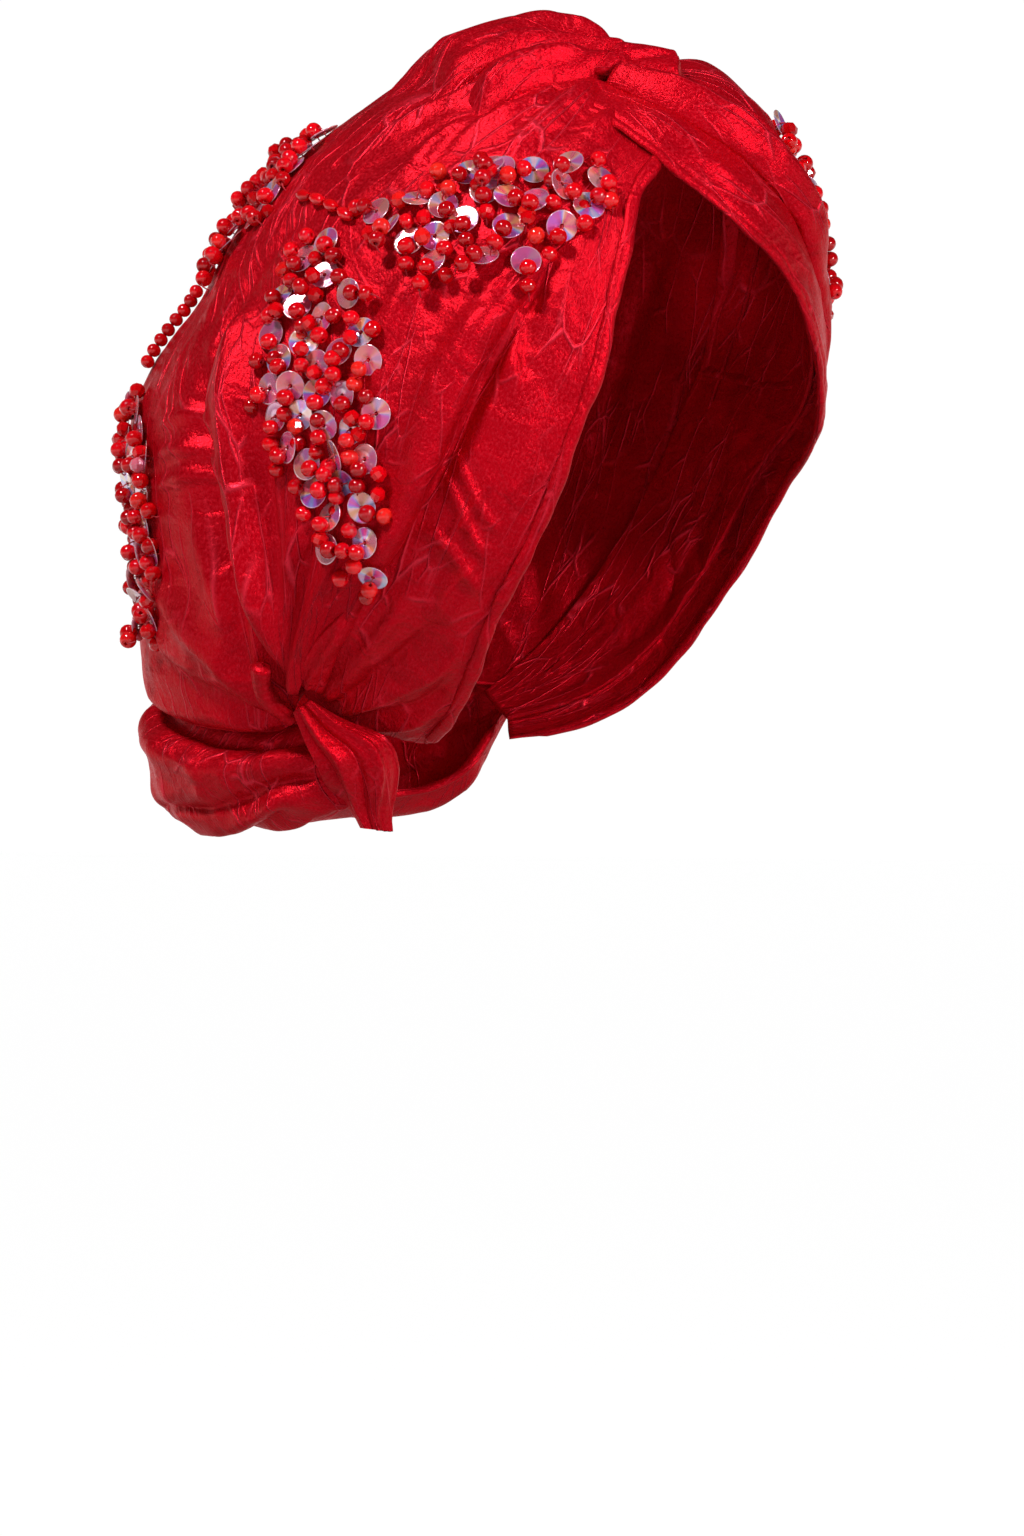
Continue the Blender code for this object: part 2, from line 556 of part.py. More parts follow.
def leaf(name, rows, objects, over=GROUND_GAP):
    """A field of sequins fused to its stitched ground, `over` mm above the cloth that it bridges."""
    knots = np.linspace(0, 1, len(rows))
    table = np.array([[*direction(*row["mid"]), row["wide"]] for row in rows])
    fine = np.linspace(0, 1, 80)
    path = curve_value(fine, knots, table)
    middle = path[:, :3] / np.linalg.norm(path[:, :3], axis=1)[:, None]
    centre = middle * form_reach(middle)[:, None]
    run = np.concatenate([[0], np.cumsum(np.linalg.norm(np.diff(centre, axis=0), axis=1))])
    forward = np.gradient(centre, axis=0)
    forward /= np.linalg.norm(forward, axis=1)[:, None]
    sideways = np.cross(middle, forward)
    sideways /= np.linalg.norm(sideways, axis=1)[:, None]
    length = run[-1]
    radius = SEQUIN_DIAMETER / 2
    margin = 1.2

    def half_at(y):
        return np.interp(y, run, path[:, 3]) / 2 + margin

    def place(x, y):
        at = np.stack([np.interp(y, run, centre[:, k]) for k in range(3)], axis=1)
        side = np.stack([np.interp(y, run, sideways[:, k]) for k in range(3)], axis=1)
        level = np.linalg.norm(at, axis=1)[:, None]
        turn = (x / level[:, 0])[:, None]
        d = at / level * np.cos(turn) + side * np.sin(turn)
        return d / np.linalg.norm(d, axis=1)[:, None]

    outline = []
    steps = 12
    for k in range(steps + 1):
        outline.append((-max(float(half_at(length * k / steps)), radius + margin), length * k / steps))
    for k in range(steps, -1, -1):
        outline.append((max(float(half_at(length * k / steps)), radius + margin), length * k / steps))
    rim = len(outline)
    centres = packed(outline, radius + 0.25, SEQUIN_PITCH)
    circles = []
    for cx, cy in centres:
        circles.append([(cx + radius * math.cos(2 * math.pi * i / BEAD_SIDES),
                         cy + radius * math.sin(2 * math.pi * i / BEAD_SIDES)) for i in range(BEAD_SIDES)])
    flat = list(outline)
    holes = []
    for ring in circles:
        holes.append(list(range(len(flat), len(flat) + BEAD_SIDES)))
        flat.extend(ring)
    boundary = [list(range(rim))]
    made = geometry.delaunay_2d_cdt([Vector(p) for p in flat], [], boundary + [h[::-1] for h in holes], 2, 1e-5)
    flat2, faces2, came = made[0], made[2], made[5]
    if len(flat2) != len(flat):
        raise ValueError(name + ": sequins of the field touch")
    hole_of = {}
    for h, ids in enumerate(holes):
        for i in ids:
            hole_of[i] = h
    ground = []
    for f in faces2:
        owners = {hole_of.get(i, -1) for i in f}
        if len(owners) == 1 and -1 not in owners:
            continue
        ground.append(tuple(f))
    cells = []
    y = 8.0
    while y < length - 5:
        half = float(half_at(y)) - 5
        count = max(int(half * 2 // 9) + 1, 1)
        for i in range(count):
            cells.append(((i - (count - 1) / 2) * 9, y))
        y += 9
    under = list(outline) + cells
    low = geometry.delaunay_2d_cdt([Vector(p) for p in under], [], [list(range(rim))], 1, 1e-5)
    xy = np.array([tuple(p) for p in flat2], float)
    d_top = place(xy[:, 0], np.clip(xy[:, 1], 0, length))
    xy_low = np.array([tuple(p) for p in low[0]], float)
    d_low = place(xy_low[:, 0], np.clip(xy_low[:, 1], 0, length))
    base = d_low * (seat_on(objects, d_low, 4.0) + over)[:, None]
    under_side = BVHTree.FromPolygons([Vector(p) for p in base], [tuple(f) for f in low[2]])
    seat = np.linalg.norm(base[:rim], axis=1).tolist()
    for way in d_top[rim:]:
        hit = under_side.ray_cast(Vector(way) * 300, -Vector(way), 300)
        seat.append(hit[0].length)
    top = d_top * (np.array(seat) + GROUND_THICK)[:, None]
    points = list(top)
    for h, ids in enumerate(holes):
        d = place(np.array([centres[h][0]]), np.array([centres[h][1]]))[0]
        for i in ids:
            points.append(points[i] + d * SEQUIN_THICK)
    first_cap = len(top)
    first_low = len(points)
    points.extend(base)
    faces = list(ground)
    for h, ids in enumerate(holes):
        cap = [first_cap + h * BEAD_SIDES + i for i in range(BEAD_SIDES)]
        for i in range(BEAD_SIDES):
            k = (i + 1) % BEAD_SIDES
            faces.append((ids[i], ids[k], cap[k], cap[i]))
        faces.append(tuple(cap))
    for f in low[2]:
        faces.append(tuple(first_low + i for i in reversed(f)))
    for i in range(rim):
        k = (i + 1) % rim
        faces.append((k, i, first_low + i, first_low + k))
    points = np.array(points)
    return add(name, points, fix_turns(faces, points), PEARL, 0.18)


def fix_turns(faces, points):
    """Faces turned to agree with each other, and out of the solid."""
    work = bmesh.new()
    corners = [work.verts.new(p) for p in points]
    for f in faces:
        work.faces.new([corners[i] for i in f])
    bmesh.ops.recalc_face_normals(work, faces=work.faces)
    work.verts.index_update()
    turned = [tuple(v.index for v in f.verts) for f in work.faces]
    work.free()
    return facing_out(turned, points)


def bead_string(name, line, count, radius, cover, objects, sides, long=False):
    """Beads threaded end to end, fused at their ends, lying on the cloth."""
    shares = []
    radii = []
    profile = ((0.0, 0.42), (0.26, 0.95), (0.74, 0.95)) if not long else (
        (0.0, 0.55), (0.08, 1.0), (0.92, 1.0))
    for k in range(count):
        for share, r in profile:
            shares.append((k + share) / count)
            radii.append(r * radius)
    shares.append(1.0)
    radii.append(profile[0][1] * radius)
    d = along(line, shares)
    path = d * (seat_on(objects, d, radius) + cover + radius)[:, None]
    return rod(name, path, radii, sides, RUBY, 0.08, 0.5)


for old in list(bpy.data.objects):
    bpy.data.objects.remove(old, do_unlink=True)

cap = sheet("cap_panel", CAP_LINES, CAP_PLEATS, 1, 29, 16,
            crowd=(0.262, 0.276, 0.292, 0.31, 0.328))
right_panel = sheet("front_panel_right", RIGHT_PANEL_LINES, RIGHT_PANEL_PLEATS, -0.1, 7, 16, crowd=(0.05,))
left_panel = sheet("front_panel_left", LEFT_PANEL_LINES, LEFT_PANEL_PLEATS, -0.15, 6, 15)
band = sheet("front_band", BAND_LINES, BAND_PLEATS, 2, 4, 28, crowd=(0.07,))
left_crown = sheet("crown_panel_left", LEFT_CROWN_LINES, LEFT_CROWN_PLEATS, 2, 10, 11)
front_roll = sheet("front_roll", FRONT_ROLL_LINES, FRONT_ROLL_PLEATS, 3, 8, 16)
front_twist = sheet("crown_roll_front", FRONT_TWIST_LINES, FRONT_TWIST_PLEATS, 3, 9, 13)
crown_twist = sheet("crown_roll_back", CROWN_TWIST_LINES, CROWN_TWIST_PLEATS, 4, 11, 13)
top_pleat = sheet("top_pleat", TOP_PLEAT_LINES, TOP_PLEAT_PLEATS, 4, 5, 6)
flap = sheet("side_flap", FLAP_LINES, FLAP_PLEATS, 2.05, 6, 7)
pouch("nape_pouch")
tail("nape_tail")
loop_way = along(LOOP_LINE, np.linspace(0, 1, 8))
loop_seat = seat_on([cap], loop_way, 2.5) + LOOP_RADIUS - 0.5
rod("nape_loop", loop_way * loop_seat[:, None], [LOOP_RADIUS * k for k in (0.7, 0.95, 1, 0.92, 1, 0.95, 1, 0.7)],
    10, DARK_RED, 0.4)
leaf("leaf_front_right", FRONT_LEAF, [cap, right_panel])
leaf("leaf_side_right", SIDE_LEAF, [cap, right_panel])
leaf("leaf_rear_upper", UPPER_LEAF, [cap])
leaf("leaf_rear_lower", LOWER_LEAF, [cap])
leaf("leaf_front_left", LEFT_LEAF, [left_crown, cap, front_roll, band], over=-0.35)
bead_string("bead_link", LINK_LINE, LINK_TUBES, LINK_RADIUS, GROUND_GAP, [cap], 10, long=True)
bead_string("bead_row_back", BACK_ROW_LINE, BACK_ROW_BEADS, BEAD_DIAMETER / 2, -0.05, [cap], 10)
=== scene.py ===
# Pre-tied turban of crushed red satin, as it sits when worn, with leaves of sequins and glass beads.
import math

import bpy
import numpy as np
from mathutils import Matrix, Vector
from mathutils.bvhtree import BVHTree


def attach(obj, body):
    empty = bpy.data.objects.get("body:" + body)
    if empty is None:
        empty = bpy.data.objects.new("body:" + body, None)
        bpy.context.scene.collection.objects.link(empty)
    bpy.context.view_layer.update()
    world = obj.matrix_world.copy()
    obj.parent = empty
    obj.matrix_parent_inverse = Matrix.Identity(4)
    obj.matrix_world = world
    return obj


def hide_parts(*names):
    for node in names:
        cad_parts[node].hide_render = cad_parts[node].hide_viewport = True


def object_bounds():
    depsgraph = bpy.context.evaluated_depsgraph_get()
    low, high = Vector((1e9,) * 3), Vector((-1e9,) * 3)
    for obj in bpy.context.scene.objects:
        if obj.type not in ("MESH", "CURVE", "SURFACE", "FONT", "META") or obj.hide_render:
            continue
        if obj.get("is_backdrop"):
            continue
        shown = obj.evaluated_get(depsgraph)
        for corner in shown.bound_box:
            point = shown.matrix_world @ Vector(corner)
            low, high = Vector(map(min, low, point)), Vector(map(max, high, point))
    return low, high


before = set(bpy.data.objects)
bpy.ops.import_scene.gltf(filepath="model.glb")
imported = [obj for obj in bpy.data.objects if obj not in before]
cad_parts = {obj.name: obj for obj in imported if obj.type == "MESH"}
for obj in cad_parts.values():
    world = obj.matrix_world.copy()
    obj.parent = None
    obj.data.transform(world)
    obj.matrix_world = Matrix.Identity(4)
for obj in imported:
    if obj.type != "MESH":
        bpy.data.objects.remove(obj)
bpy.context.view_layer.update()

# Cap panel. One large piece of satin is laid from the twist over the crown, the right side and
# the back to the left side, and is gathered at the nape. It lies on the head, so every sheet here
# is lofted between fold lines on the head's form, which are given as bearing and rise in degrees.
MM = 0.001
CLOTH = 1.2
LAYER_STEP = 1.8
OUTLINE_TURN = math.radians(-62)
HALF_DEPTH = 84.0
DEPTH_SLANT = 0.20
FORM_OUTLINE = {
    "angle": (-180, -170, -160, -150, -142, -130, -120, -110, -100, -90, -60, -30,
              0, 15, 25, 35, 45, 55, 65, 75, 85, 95, 105, 115, 130, 145, 160, 170),
    "reach": (102, 104, 107, 113, 120, 119, 110, 104, 100, 98, 103, 98,
              92, 95, 99, 104, 108, 109, 106, 103.5, 104, 100, 95.5, 92, 89.5, 88.5, 89, 95),
}
ACROSS = np.array([math.cos(OUTLINE_TURN), math.sin(OUTLINE_TURN), 0.0])
TOWARDS = np.array([math.sin(OUTLINE_TURN), -math.cos(OUTLINE_TURN), 0.0])
UP = np.array([0.0, 0.0, 1.0])


def direction(bearing, rise):
    b = math.radians(bearing)
    r = math.radians(rise)
    return np.array([-math.sin(b) * math.cos(r), -math.cos(b) * math.cos(r), math.sin(r)])


def curve_value(x, knots, values):
    """Smooth curve through (knots, values) at x."""
    knots = np.asarray(knots, float)
    values = np.asarray(values, float)
    x = np.asarray(x, float)
    if values.ndim == 1:
        return curve_value(x, knots, values[:, None])[..., 0]
    i = np.clip(np.searchsorted(knots, x, side="right") - 1, 0, len(knots) - 2)
    span = np.diff(knots)
    chord = np.diff(values, axis=0) / span[:, None]
    slope = np.empty_like(values)
    slope[0] = chord[0]
    slope[-1] = chord[-1]
    if len(knots) > 2:
        weight = (span[1:] / (span[1:] + span[:-1]))[:, None]
        slope[1:-1] = weight * chord[:-1] + (1 - weight) * chord[1:]
    h = span[i]
    t = ((x - knots[i]) / h)[..., None]
    h = h[..., None]
    return ((2 * t**3 - 3 * t**2 + 1) * values[i] + (t**3 - 2 * t**2 + t) * h * slope[i]
            + (-2 * t**3 + 3 * t**2) * values[i + 1] + (t**3 - t**2) * h * slope[i + 1])


def form_reach(d):
    """Distance in mm from the head's middle to its surface, along unit directions d."""
    u = d @ ACROSS
    v = d @ UP
    w = d @ TOWARDS - DEPTH_SLANT * u
    angle = np.degrees(np.arctan2(v, u))
    knots = np.array(FORM_OUTLINE["angle"], float)
    knots = np.concatenate([knots - 360, knots, knots + 360])
    outline = curve_value(angle, knots, np.tile(np.array(FORM_OUTLINE["reach"], float), 3))
    return 1 / np.sqrt((np.hypot(u, v) / outline) ** 2 + (w / HALF_DEPTH) ** 2)


def along(line, shares):
    """Unit directions at even shares of the way along a line of (bearing, rise) points."""
    points = np.array([direction(*p) for p in line])
    steps = np.linalg.norm(np.diff(points, axis=0), axis=1)
    knots = np.concatenate([[0], np.cumsum(steps)])
    fine = np.linspace(0, knots[-1], 200)
    path = curve_value(fine, knots, points)
    path /= np.linalg.norm(path, axis=1)[:, None]
    run = np.concatenate([[0], np.cumsum(np.linalg.norm(np.diff(path, axis=0), axis=1))])
    place = np.interp(np.asarray(shares, float) * run[-1], run, fine)
    path = curve_value(place, knots, points)
    return path / np.linalg.norm(path, axis=1)[:, None]


def lay(lines, across, down):
    """Directions of a sheet's points, as a grid of across by down."""
    lofted = np.array([along(row["line"], down) for row in lines])
    at = np.array([row["at"] for row in lines], float)
    grid = curve_value(np.asarray(across, float), at, lofted.reshape(len(at), -1))
    grid = grid.reshape(len(across), len(down), 3)
    return grid / np.linalg.norm(grid, axis=2)[..., None]


def smooth_step(x):
    x = np.clip(x, 0, 1)
    return x * x * (3 - 2 * x)


def pleat_height(pleats, s, t, fade=0.12):
    """Height in mm of the pleats at (s across, t down) of a sheet."""
    total = np.zeros(np.broadcast(s, t).shape)
    for row in pleats:
        middle = row["top"] + (row["foot"] - row["top"]) * t
        start, end = row["run"]
        ends = smooth_step((t - start) / fade) * smooth_step((end - t) / fade)
        total = total + row["high"] * np.exp(-(((s - middle) / row["half"]) ** 2)) * ends
    return total


def add_fold(total, flat, line, high, left, right, ends=(0.2, 0.25)):
    """Adds one fold along a line of directions: its height and its widths to either side, in mm."""
    mean_reach = 98.0
    middle = line.mean(axis=0)
    size = np.linalg.norm(line - middle, axis=1).max() + 2.6 * max(left, right) / mean_reach
    near = np.nonzero(np.sum((flat - middle) ** 2, axis=1) < size**2)[0]
    if len(near) == 0:
        return
    p = flat[near]
    start = line[:-1]
    span = line[1:] - start
    share = np.einsum("pkc,kc->pk", p[:, None, :] - start[None], span) / np.sum(span * span, axis=1)
    share = np.clip(share, 0, 1)
    gap = p[:, None, :] - (start[None] + share[..., None] * span[None])
    far = np.linalg.norm(gap, axis=2)
    k = far.argmin(axis=1)
    rows = np.arange(len(p))
    side = np.sum(np.cross(span[k], gap[rows, k]) * p, axis=1)
    wide = np.where(side > 0, left, right)
    place = (k + share[rows, k]) / len(start)
    fade = smooth_step(place / ends[0]) * smooth_step((1 - place) / ends[1])
    total[near] += high * np.exp(-((far[rows, k] * mean_reach / wide) ** 2)) * fade


def fold_heights(grid, folds):
    """Height in mm of a table of folds over a grid of directions."""
    flat = grid.reshape(-1, 3)
    total = np.zeros(len(flat))
    for row in folds:
        line = along(row["line"], np.linspace(0, 1, 22))
        add_fold(total, flat, line, row["high"], row["left"], row["right"], row.get("ends", (0.2, 0.25)))
    return total.reshape(grid.shape[:2])


def crushed(grid, size, seed, count, long, wide, high, heading, turn):
    """Heights of short creases pressed into the cloth at random, mostly in two crossing directions.

    size is the sheet's width and length in mm, and heading the middle direction in degrees from
    straight down the sheet."""
    rng = np.random.default_rng(seed)
    n, m = grid.shape[:2]
    flat = grid.reshape(-1, 3)
    total = np.zeros(len(flat))
    for k in range(count):
        s0, t0 = rng.random(2)
        way = math.radians((heading if rng.random() < 0.62 else -heading) + turn * rng.normal())
        reach = rng.uniform(*long)
        bend = rng.normal() * 0.28
        steps = np.linspace(-0.5, 0.5, 6)
        s = s0 + (reach * steps * math.sin(way) + reach * bend * (steps**2) * math.cos(way)) / size[0]
        t = t0 + (reach * steps * math.cos(way) - reach * bend * (steps**2) * math.sin(way)) / size[1]
        x = np.clip(s, 0, 1) * (n - 1.001)
        y = np.clip(t, 0, 1) * (m - 1.001)
        i = x.astype(int)
        j = y.astype(int)
        x = (x - i)[:, None]
        y = (y - j)[:, None]
        line = ((1 - x) * (1 - y) * grid[i, j] + x * (1 - y) * grid[i + 1, j]
                + (1 - x) * y * grid[i, j + 1] + x * y * grid[i + 1, j + 1])
        if np.linalg.norm(np.diff(line, axis=0), axis=1).min() * 98 < reach * 0.05:
            continue
        width = rng.uniform(*wide)
        lift = rng.uniform(*high) * (1 if rng.random() < 0.7 else -0.8)
        add_fold(total, flat, line, lift, width, width * rng.uniform(0.6, 2.0), (0.35, 0.35))
    return total.reshape(n, m)


def tuck_height(outer, tucks):
    """How far a sheet's edges turn down, in mm. A row is one edge: how wide the turn is, how deep it goes,
    and the stretch of the edge that it takes in. A round turn is a folded edge, and a slope is a tuck."""
    n, m = outer.shape[:2]
    total = np.zeros((n, m))
    across = np.linalg.norm(np.diff(outer, axis=0), axis=2)
    down = np.linalg.norm(np.diff(outer, axis=1), axis=2)
    from_start = np.concatenate([np.zeros((1, m)), np.cumsum(across, axis=0)])
    from_top = np.concatenate([np.zeros((n, 1)), np.cumsum(down, axis=1)], axis=1)
    away = {"start": from_start, "end": from_start[-1:] - from_start,
            "top": from_top, "foot": from_top[:, -1:] - from_top}
    share = {"start": from_top / from_top[:, -1:], "top": from_start / np.maximum(from_start[-1:], 1e-6)}
    share["end"] = share["start"]
    share["foot"] = share["top"]
    for row in tucks:
        x = np.clip(away[row["edge"]] / row["wide"], 0, 1)
        shape = 1 - np.sqrt(np.clip(1 - (1 - x) ** 2, 0, 1)) if row["round"] else 1 - smooth_step(x)
        begin, stop = row.get("run", (-1.0, 2.0))
        place = share[row["edge"]]
        mask = smooth_step((place - begin) / 0.10) * smooth_step((stop - place) / 0.10)
        total = np.maximum(total, row["deep"] * shape * mask)
    return total


def uneven(count, places, density):
    """Shares from 0 to 1, set closer where the density is higher."""
    x = np.linspace(0, 1, 500)
    run = np.concatenate([[0], np.cumsum(np.interp((x[1:] + x[:-1]) / 2, places, density))])
    return np.interp(np.linspace(0, 1, count), run / run[-1], x)


def facing(points, hint=None):
    """Unit normals of a grid of points, on the side away from the head."""
    normal = np.cross(np.gradient(points, axis=0), np.gradient(points, axis=1))
    normal /= np.maximum(np.linalg.norm(normal, axis=2), 1e-9)[..., None]
    away = points if hint is None else points - hint
    return -normal if np.sum(normal * away) < 0 else normal


def linear(code):
    """Linear colour from an sRGB hex value."""
    parts = [int(code[i:i + 2], 16) / 255 for i in (1, 3, 5)]
    return tuple(c / 12.92 if c <= 0.04045 else ((c + 0.055) / 1.055) ** 2.4 for c in parts) + (1.0,)


def put(tree, kind, inputs, **settings):
    """Adds a shader node with its settings, and with values or links on its inputs."""
    made = tree.nodes.new("ShaderNode" + kind)
    for key, value in settings.items():
        setattr(made, key, value)
    for key, value in inputs.items():
        if isinstance(value, bpy.types.NodeSocket):
            tree.links.new(value, made.inputs[key])
        else:
            made.inputs[key].default_value = value
    return made


def crushed_satin(name, deep, lit, painted_sheen):
    """Polyester satin, crushed wet so that fine creases stay in it.

    The float threads give a broad soft shine that is paler than the dye. A speckle of single threads varies the
    roughness and the bump, and is painted into the colour as a paler painted highlight.
    The creases are raised as thin lines in the bump, mostly in two crossing ways, and a painted highlight along them
    lightens the colour."""
    made = bpy.data.materials.new(name)
    made.use_nodes = True
    tree = made.node_tree
    shader = tree.nodes["Principled BSDF"]
    place = put(tree, "TexCoord", {}).outputs["UV"]  # one unit is 10 mm of cloth
    lines = None
    for turn, stretch, seed in ((24, (1.0, 0.22), 0.0), (-33, (1.2, 0.26), 7.3), (64, (0.9, 0.30), 3.1)):
        turned = put(tree, "Mapping", {"Vector": place, "Rotation": (0, 0, math.radians(turn)),
                                       "Location": (seed, seed * 0.7, 0), "Scale": (*stretch, 1)})
        bent = put(tree, "TexNoise", {"Vector": turned.outputs[0], "Scale": 0.9, "Detail": 2.0})
        moved = put(tree, "MixRGB", {"Fac": 0.22, "Color1": turned.outputs[0], "Color2": bent.outputs["Color"]},
                    blend_type="ADD")
        cells = put(tree, "TexVoronoi", {"Vector": moved.outputs[0], "Scale": 1.25, "Randomness": 1.0},
                    feature="DISTANCE_TO_EDGE")
        crease = put(tree, "MapRange", {"Value": cells.outputs["Distance"], "From Min": 0.0, "From Max": 0.042,
                                        "To Min": 1.0, "To Max": 0.0}, interpolation_type="SMOOTHSTEP")
        patch = put(tree, "TexNoise", {"Vector": moved.outputs[0], "Scale": 0.8, "Detail": 1.0})
        shown = put(tree, "MapRange", {"Value": patch.outputs["Fac"], "From Min": 0.50, "From Max": 0.64})
        part = put(tree, "Math", {0: crease.outputs[0], 1: shown.outputs[0]}, operation="MULTIPLY")
        lines = part.outputs[0] if lines is None else put(
            tree, "Math", {0: lines, 1: part.outputs[0]}, operation="MAXIMUM").outputs[0]
    soft = put(tree, "TexNoise", {"Vector": place, "Scale": 1.0, "Detail": 1.6, "Distortion": 0.9})
    thread = put(tree, "Mapping", {"Vector": place, "Scale": (16.0, 9.0, 1.0)})  # single threads, about 0.6 mm
    speck = put(tree, "TexNoise", {"Vector": thread.outputs[0], "Scale": 1.0, "Detail": 2.0, "Roughness": 0.7})
    tone = put(tree, "TexNoise", {"Vector": place, "Scale": 0.5, "Detail": 3.0})
    dye = put(tree, "MixRGB", {"Fac": tone.outputs["Fac"], "Color1": linear(deep), "Color2": linear(lit)})
    # painted highlight: the speckle of single threads is painted paler, mixed toward the painted sheen colour; the same
    # speckle also sets roughness and bump
    painted_speckle_highlight = put(tree, "MapRange", {"Value": speck.outputs["Fac"], "From Min": 0.48, "From Max": 0.66,
                                           "To Min": 0.0, "To Max": 0.16})
    dye_with_painted_speckle = put(tree, "MixRGB", {"Fac": painted_speckle_highlight.outputs[0], "Color1": dye.outputs[0], "Color2": linear(painted_sheen)})
    # painted highlight along the creases: the crease lines are mixed toward the painted sheen colour; they are also
    # raised in the bump below
    painted_crease_highlight = put(tree, "MixRGB", {"Fac": put(tree, "Math", {0: lines, 1: 0.42}, operation="MULTIPLY").outputs[0],
                                 "Color1": dye_with_painted_speckle.outputs[0], "Color2": linear(painted_sheen)})
    tree.links.new(painted_crease_highlight.outputs[0], shader.inputs["Base Color"])
    gloss = put(tree, "MapRange", {"Value": speck.outputs["Fac"], "From Min": 0.32, "From Max": 0.68,
                                   "To Min": 0.24, "To Max": 0.52})
    tree.links.new(gloss.outputs[0], shader.inputs["Roughness"])
    shader.inputs["Metallic"].default_value = 0.45
    shader.inputs["Specular IOR Level"].default_value = 0.45
    shader.inputs["Specular Tint"].default_value = linear("#ff5468")
    shader.inputs["Sheen Weight"].default_value = 0.0
    shader.inputs["Sheen Tint"].default_value = linear("#ff5468")
    shader.inputs["Sheen Roughness"].default_value = 0.35
    fine = put(tree, "Bump", {"Height": speck.outputs["Fac"], "Strength": 1.0, "Distance": 0.26 * MM})
    wave = put(tree, "Bump", {"Height": soft.outputs["Fac"], "Strength": 0.8, "Distance": 1.6 * MM,
                              "Normal": fine.outputs[0]})
    raised = put(tree, "Bump", {"Height": lines, "Strength": 1.0, "Distance": 0.45 * MM, "Normal": wave.outputs[0]})
    tree.links.new(raised.outputs[0], shader.inputs["Normal"])
    return made


# the last colour is the painted sheen: the colour of the painted highlights on the thread speckle and along the creases
SATIN = crushed_satin("crushed_red_satin", "#9c000c", "#d20218", "#ff3c54")


def sewn(name, node, outer, satin, thick=CLOTH, hint=None, held="stretched", rests_on=("wearer's head",)):
    """A cloth piece from a grid of points in mm: its face, its back one thickness below, and its edges."""
    n, m = outer.shape[:2]
    inner = outer - thick * facing(outer, hint)
    points = np.concatenate([outer.reshape(-1, 3), inner.reshape(-1, 3)]) * MM
    i, j = np.meshgrid(np.arange(n - 1), np.arange(m - 1), indexing="ij")
    a = (i * m + j).ravel()
    face = np.stack([a, a + m, a + m + 1, a + 1], axis=1)
    if np.sum(np.cross(outer[1:, 1:] - outer[:-1, :-1], outer[:-1, 1:] - outer[1:, :-1])
              * facing(outer, hint)[1:, 1:]) < 0:
        face = face[:, ::-1]
    back = face[:, ::-1] + n * m
    rim = np.concatenate([np.arange(n) * m, (n - 1) * m + np.arange(1, m), np.arange(n - 2, -1, -1) * m + m - 1,
                          np.arange(m - 2, 0, -1)])
    after = np.roll(rim, -1)
    side = np.stack([rim, after, after + n * m, rim + n * m], axis=1)
    mesh = bpy.data.meshes.new(name)
    mesh.from_pydata(points.tolist(), [], np.concatenate([face, back, side]).tolist())
    across = np.linalg.norm(np.diff(outer, axis=0), axis=2).mean(axis=1)
    down = np.linalg.norm(np.diff(outer, axis=1), axis=2).mean(axis=0)
    u = np.concatenate([[0], np.cumsum(across)]) / 10
    v = np.concatenate([[0], np.cumsum(down)]) / 10
    flat = np.stack(np.meshgrid(u, v, indexing="ij"), axis=2).reshape(-1, 2)
    flat = np.concatenate([flat, flat + 0.37])
    corner = np.empty(len(mesh.loops), np.int32)
    mesh.loops.foreach_get("vertex_index", corner)
    mesh.uv_layers.new(name="cloth").data.foreach_set("uv", flat[corner].ravel())
    mesh.materials.append(satin)
    mesh.shade_smooth()
    made = bpy.data.objects.new(name, mesh)
    bpy.context.scene.collection.objects.link(made)
    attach(made, "root")
    if node:
        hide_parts(node)
    area = float(np.linalg.norm(np.cross(outer[1:, :-1] - outer[:-1, :-1], outer[:-1, 1:] - outer[:-1, :-1]),
                                axis=2).sum()) * 1e-6
    width, length = u[-1] * 0.01, v[-1] * 0.01
    made["cut"] = (width, length, min(area, width * length))
    print("CUT", name, round(width, 4), round(length, 4), round(area, 5), "triangles", 2 * len(mesh.polygons))
    return made


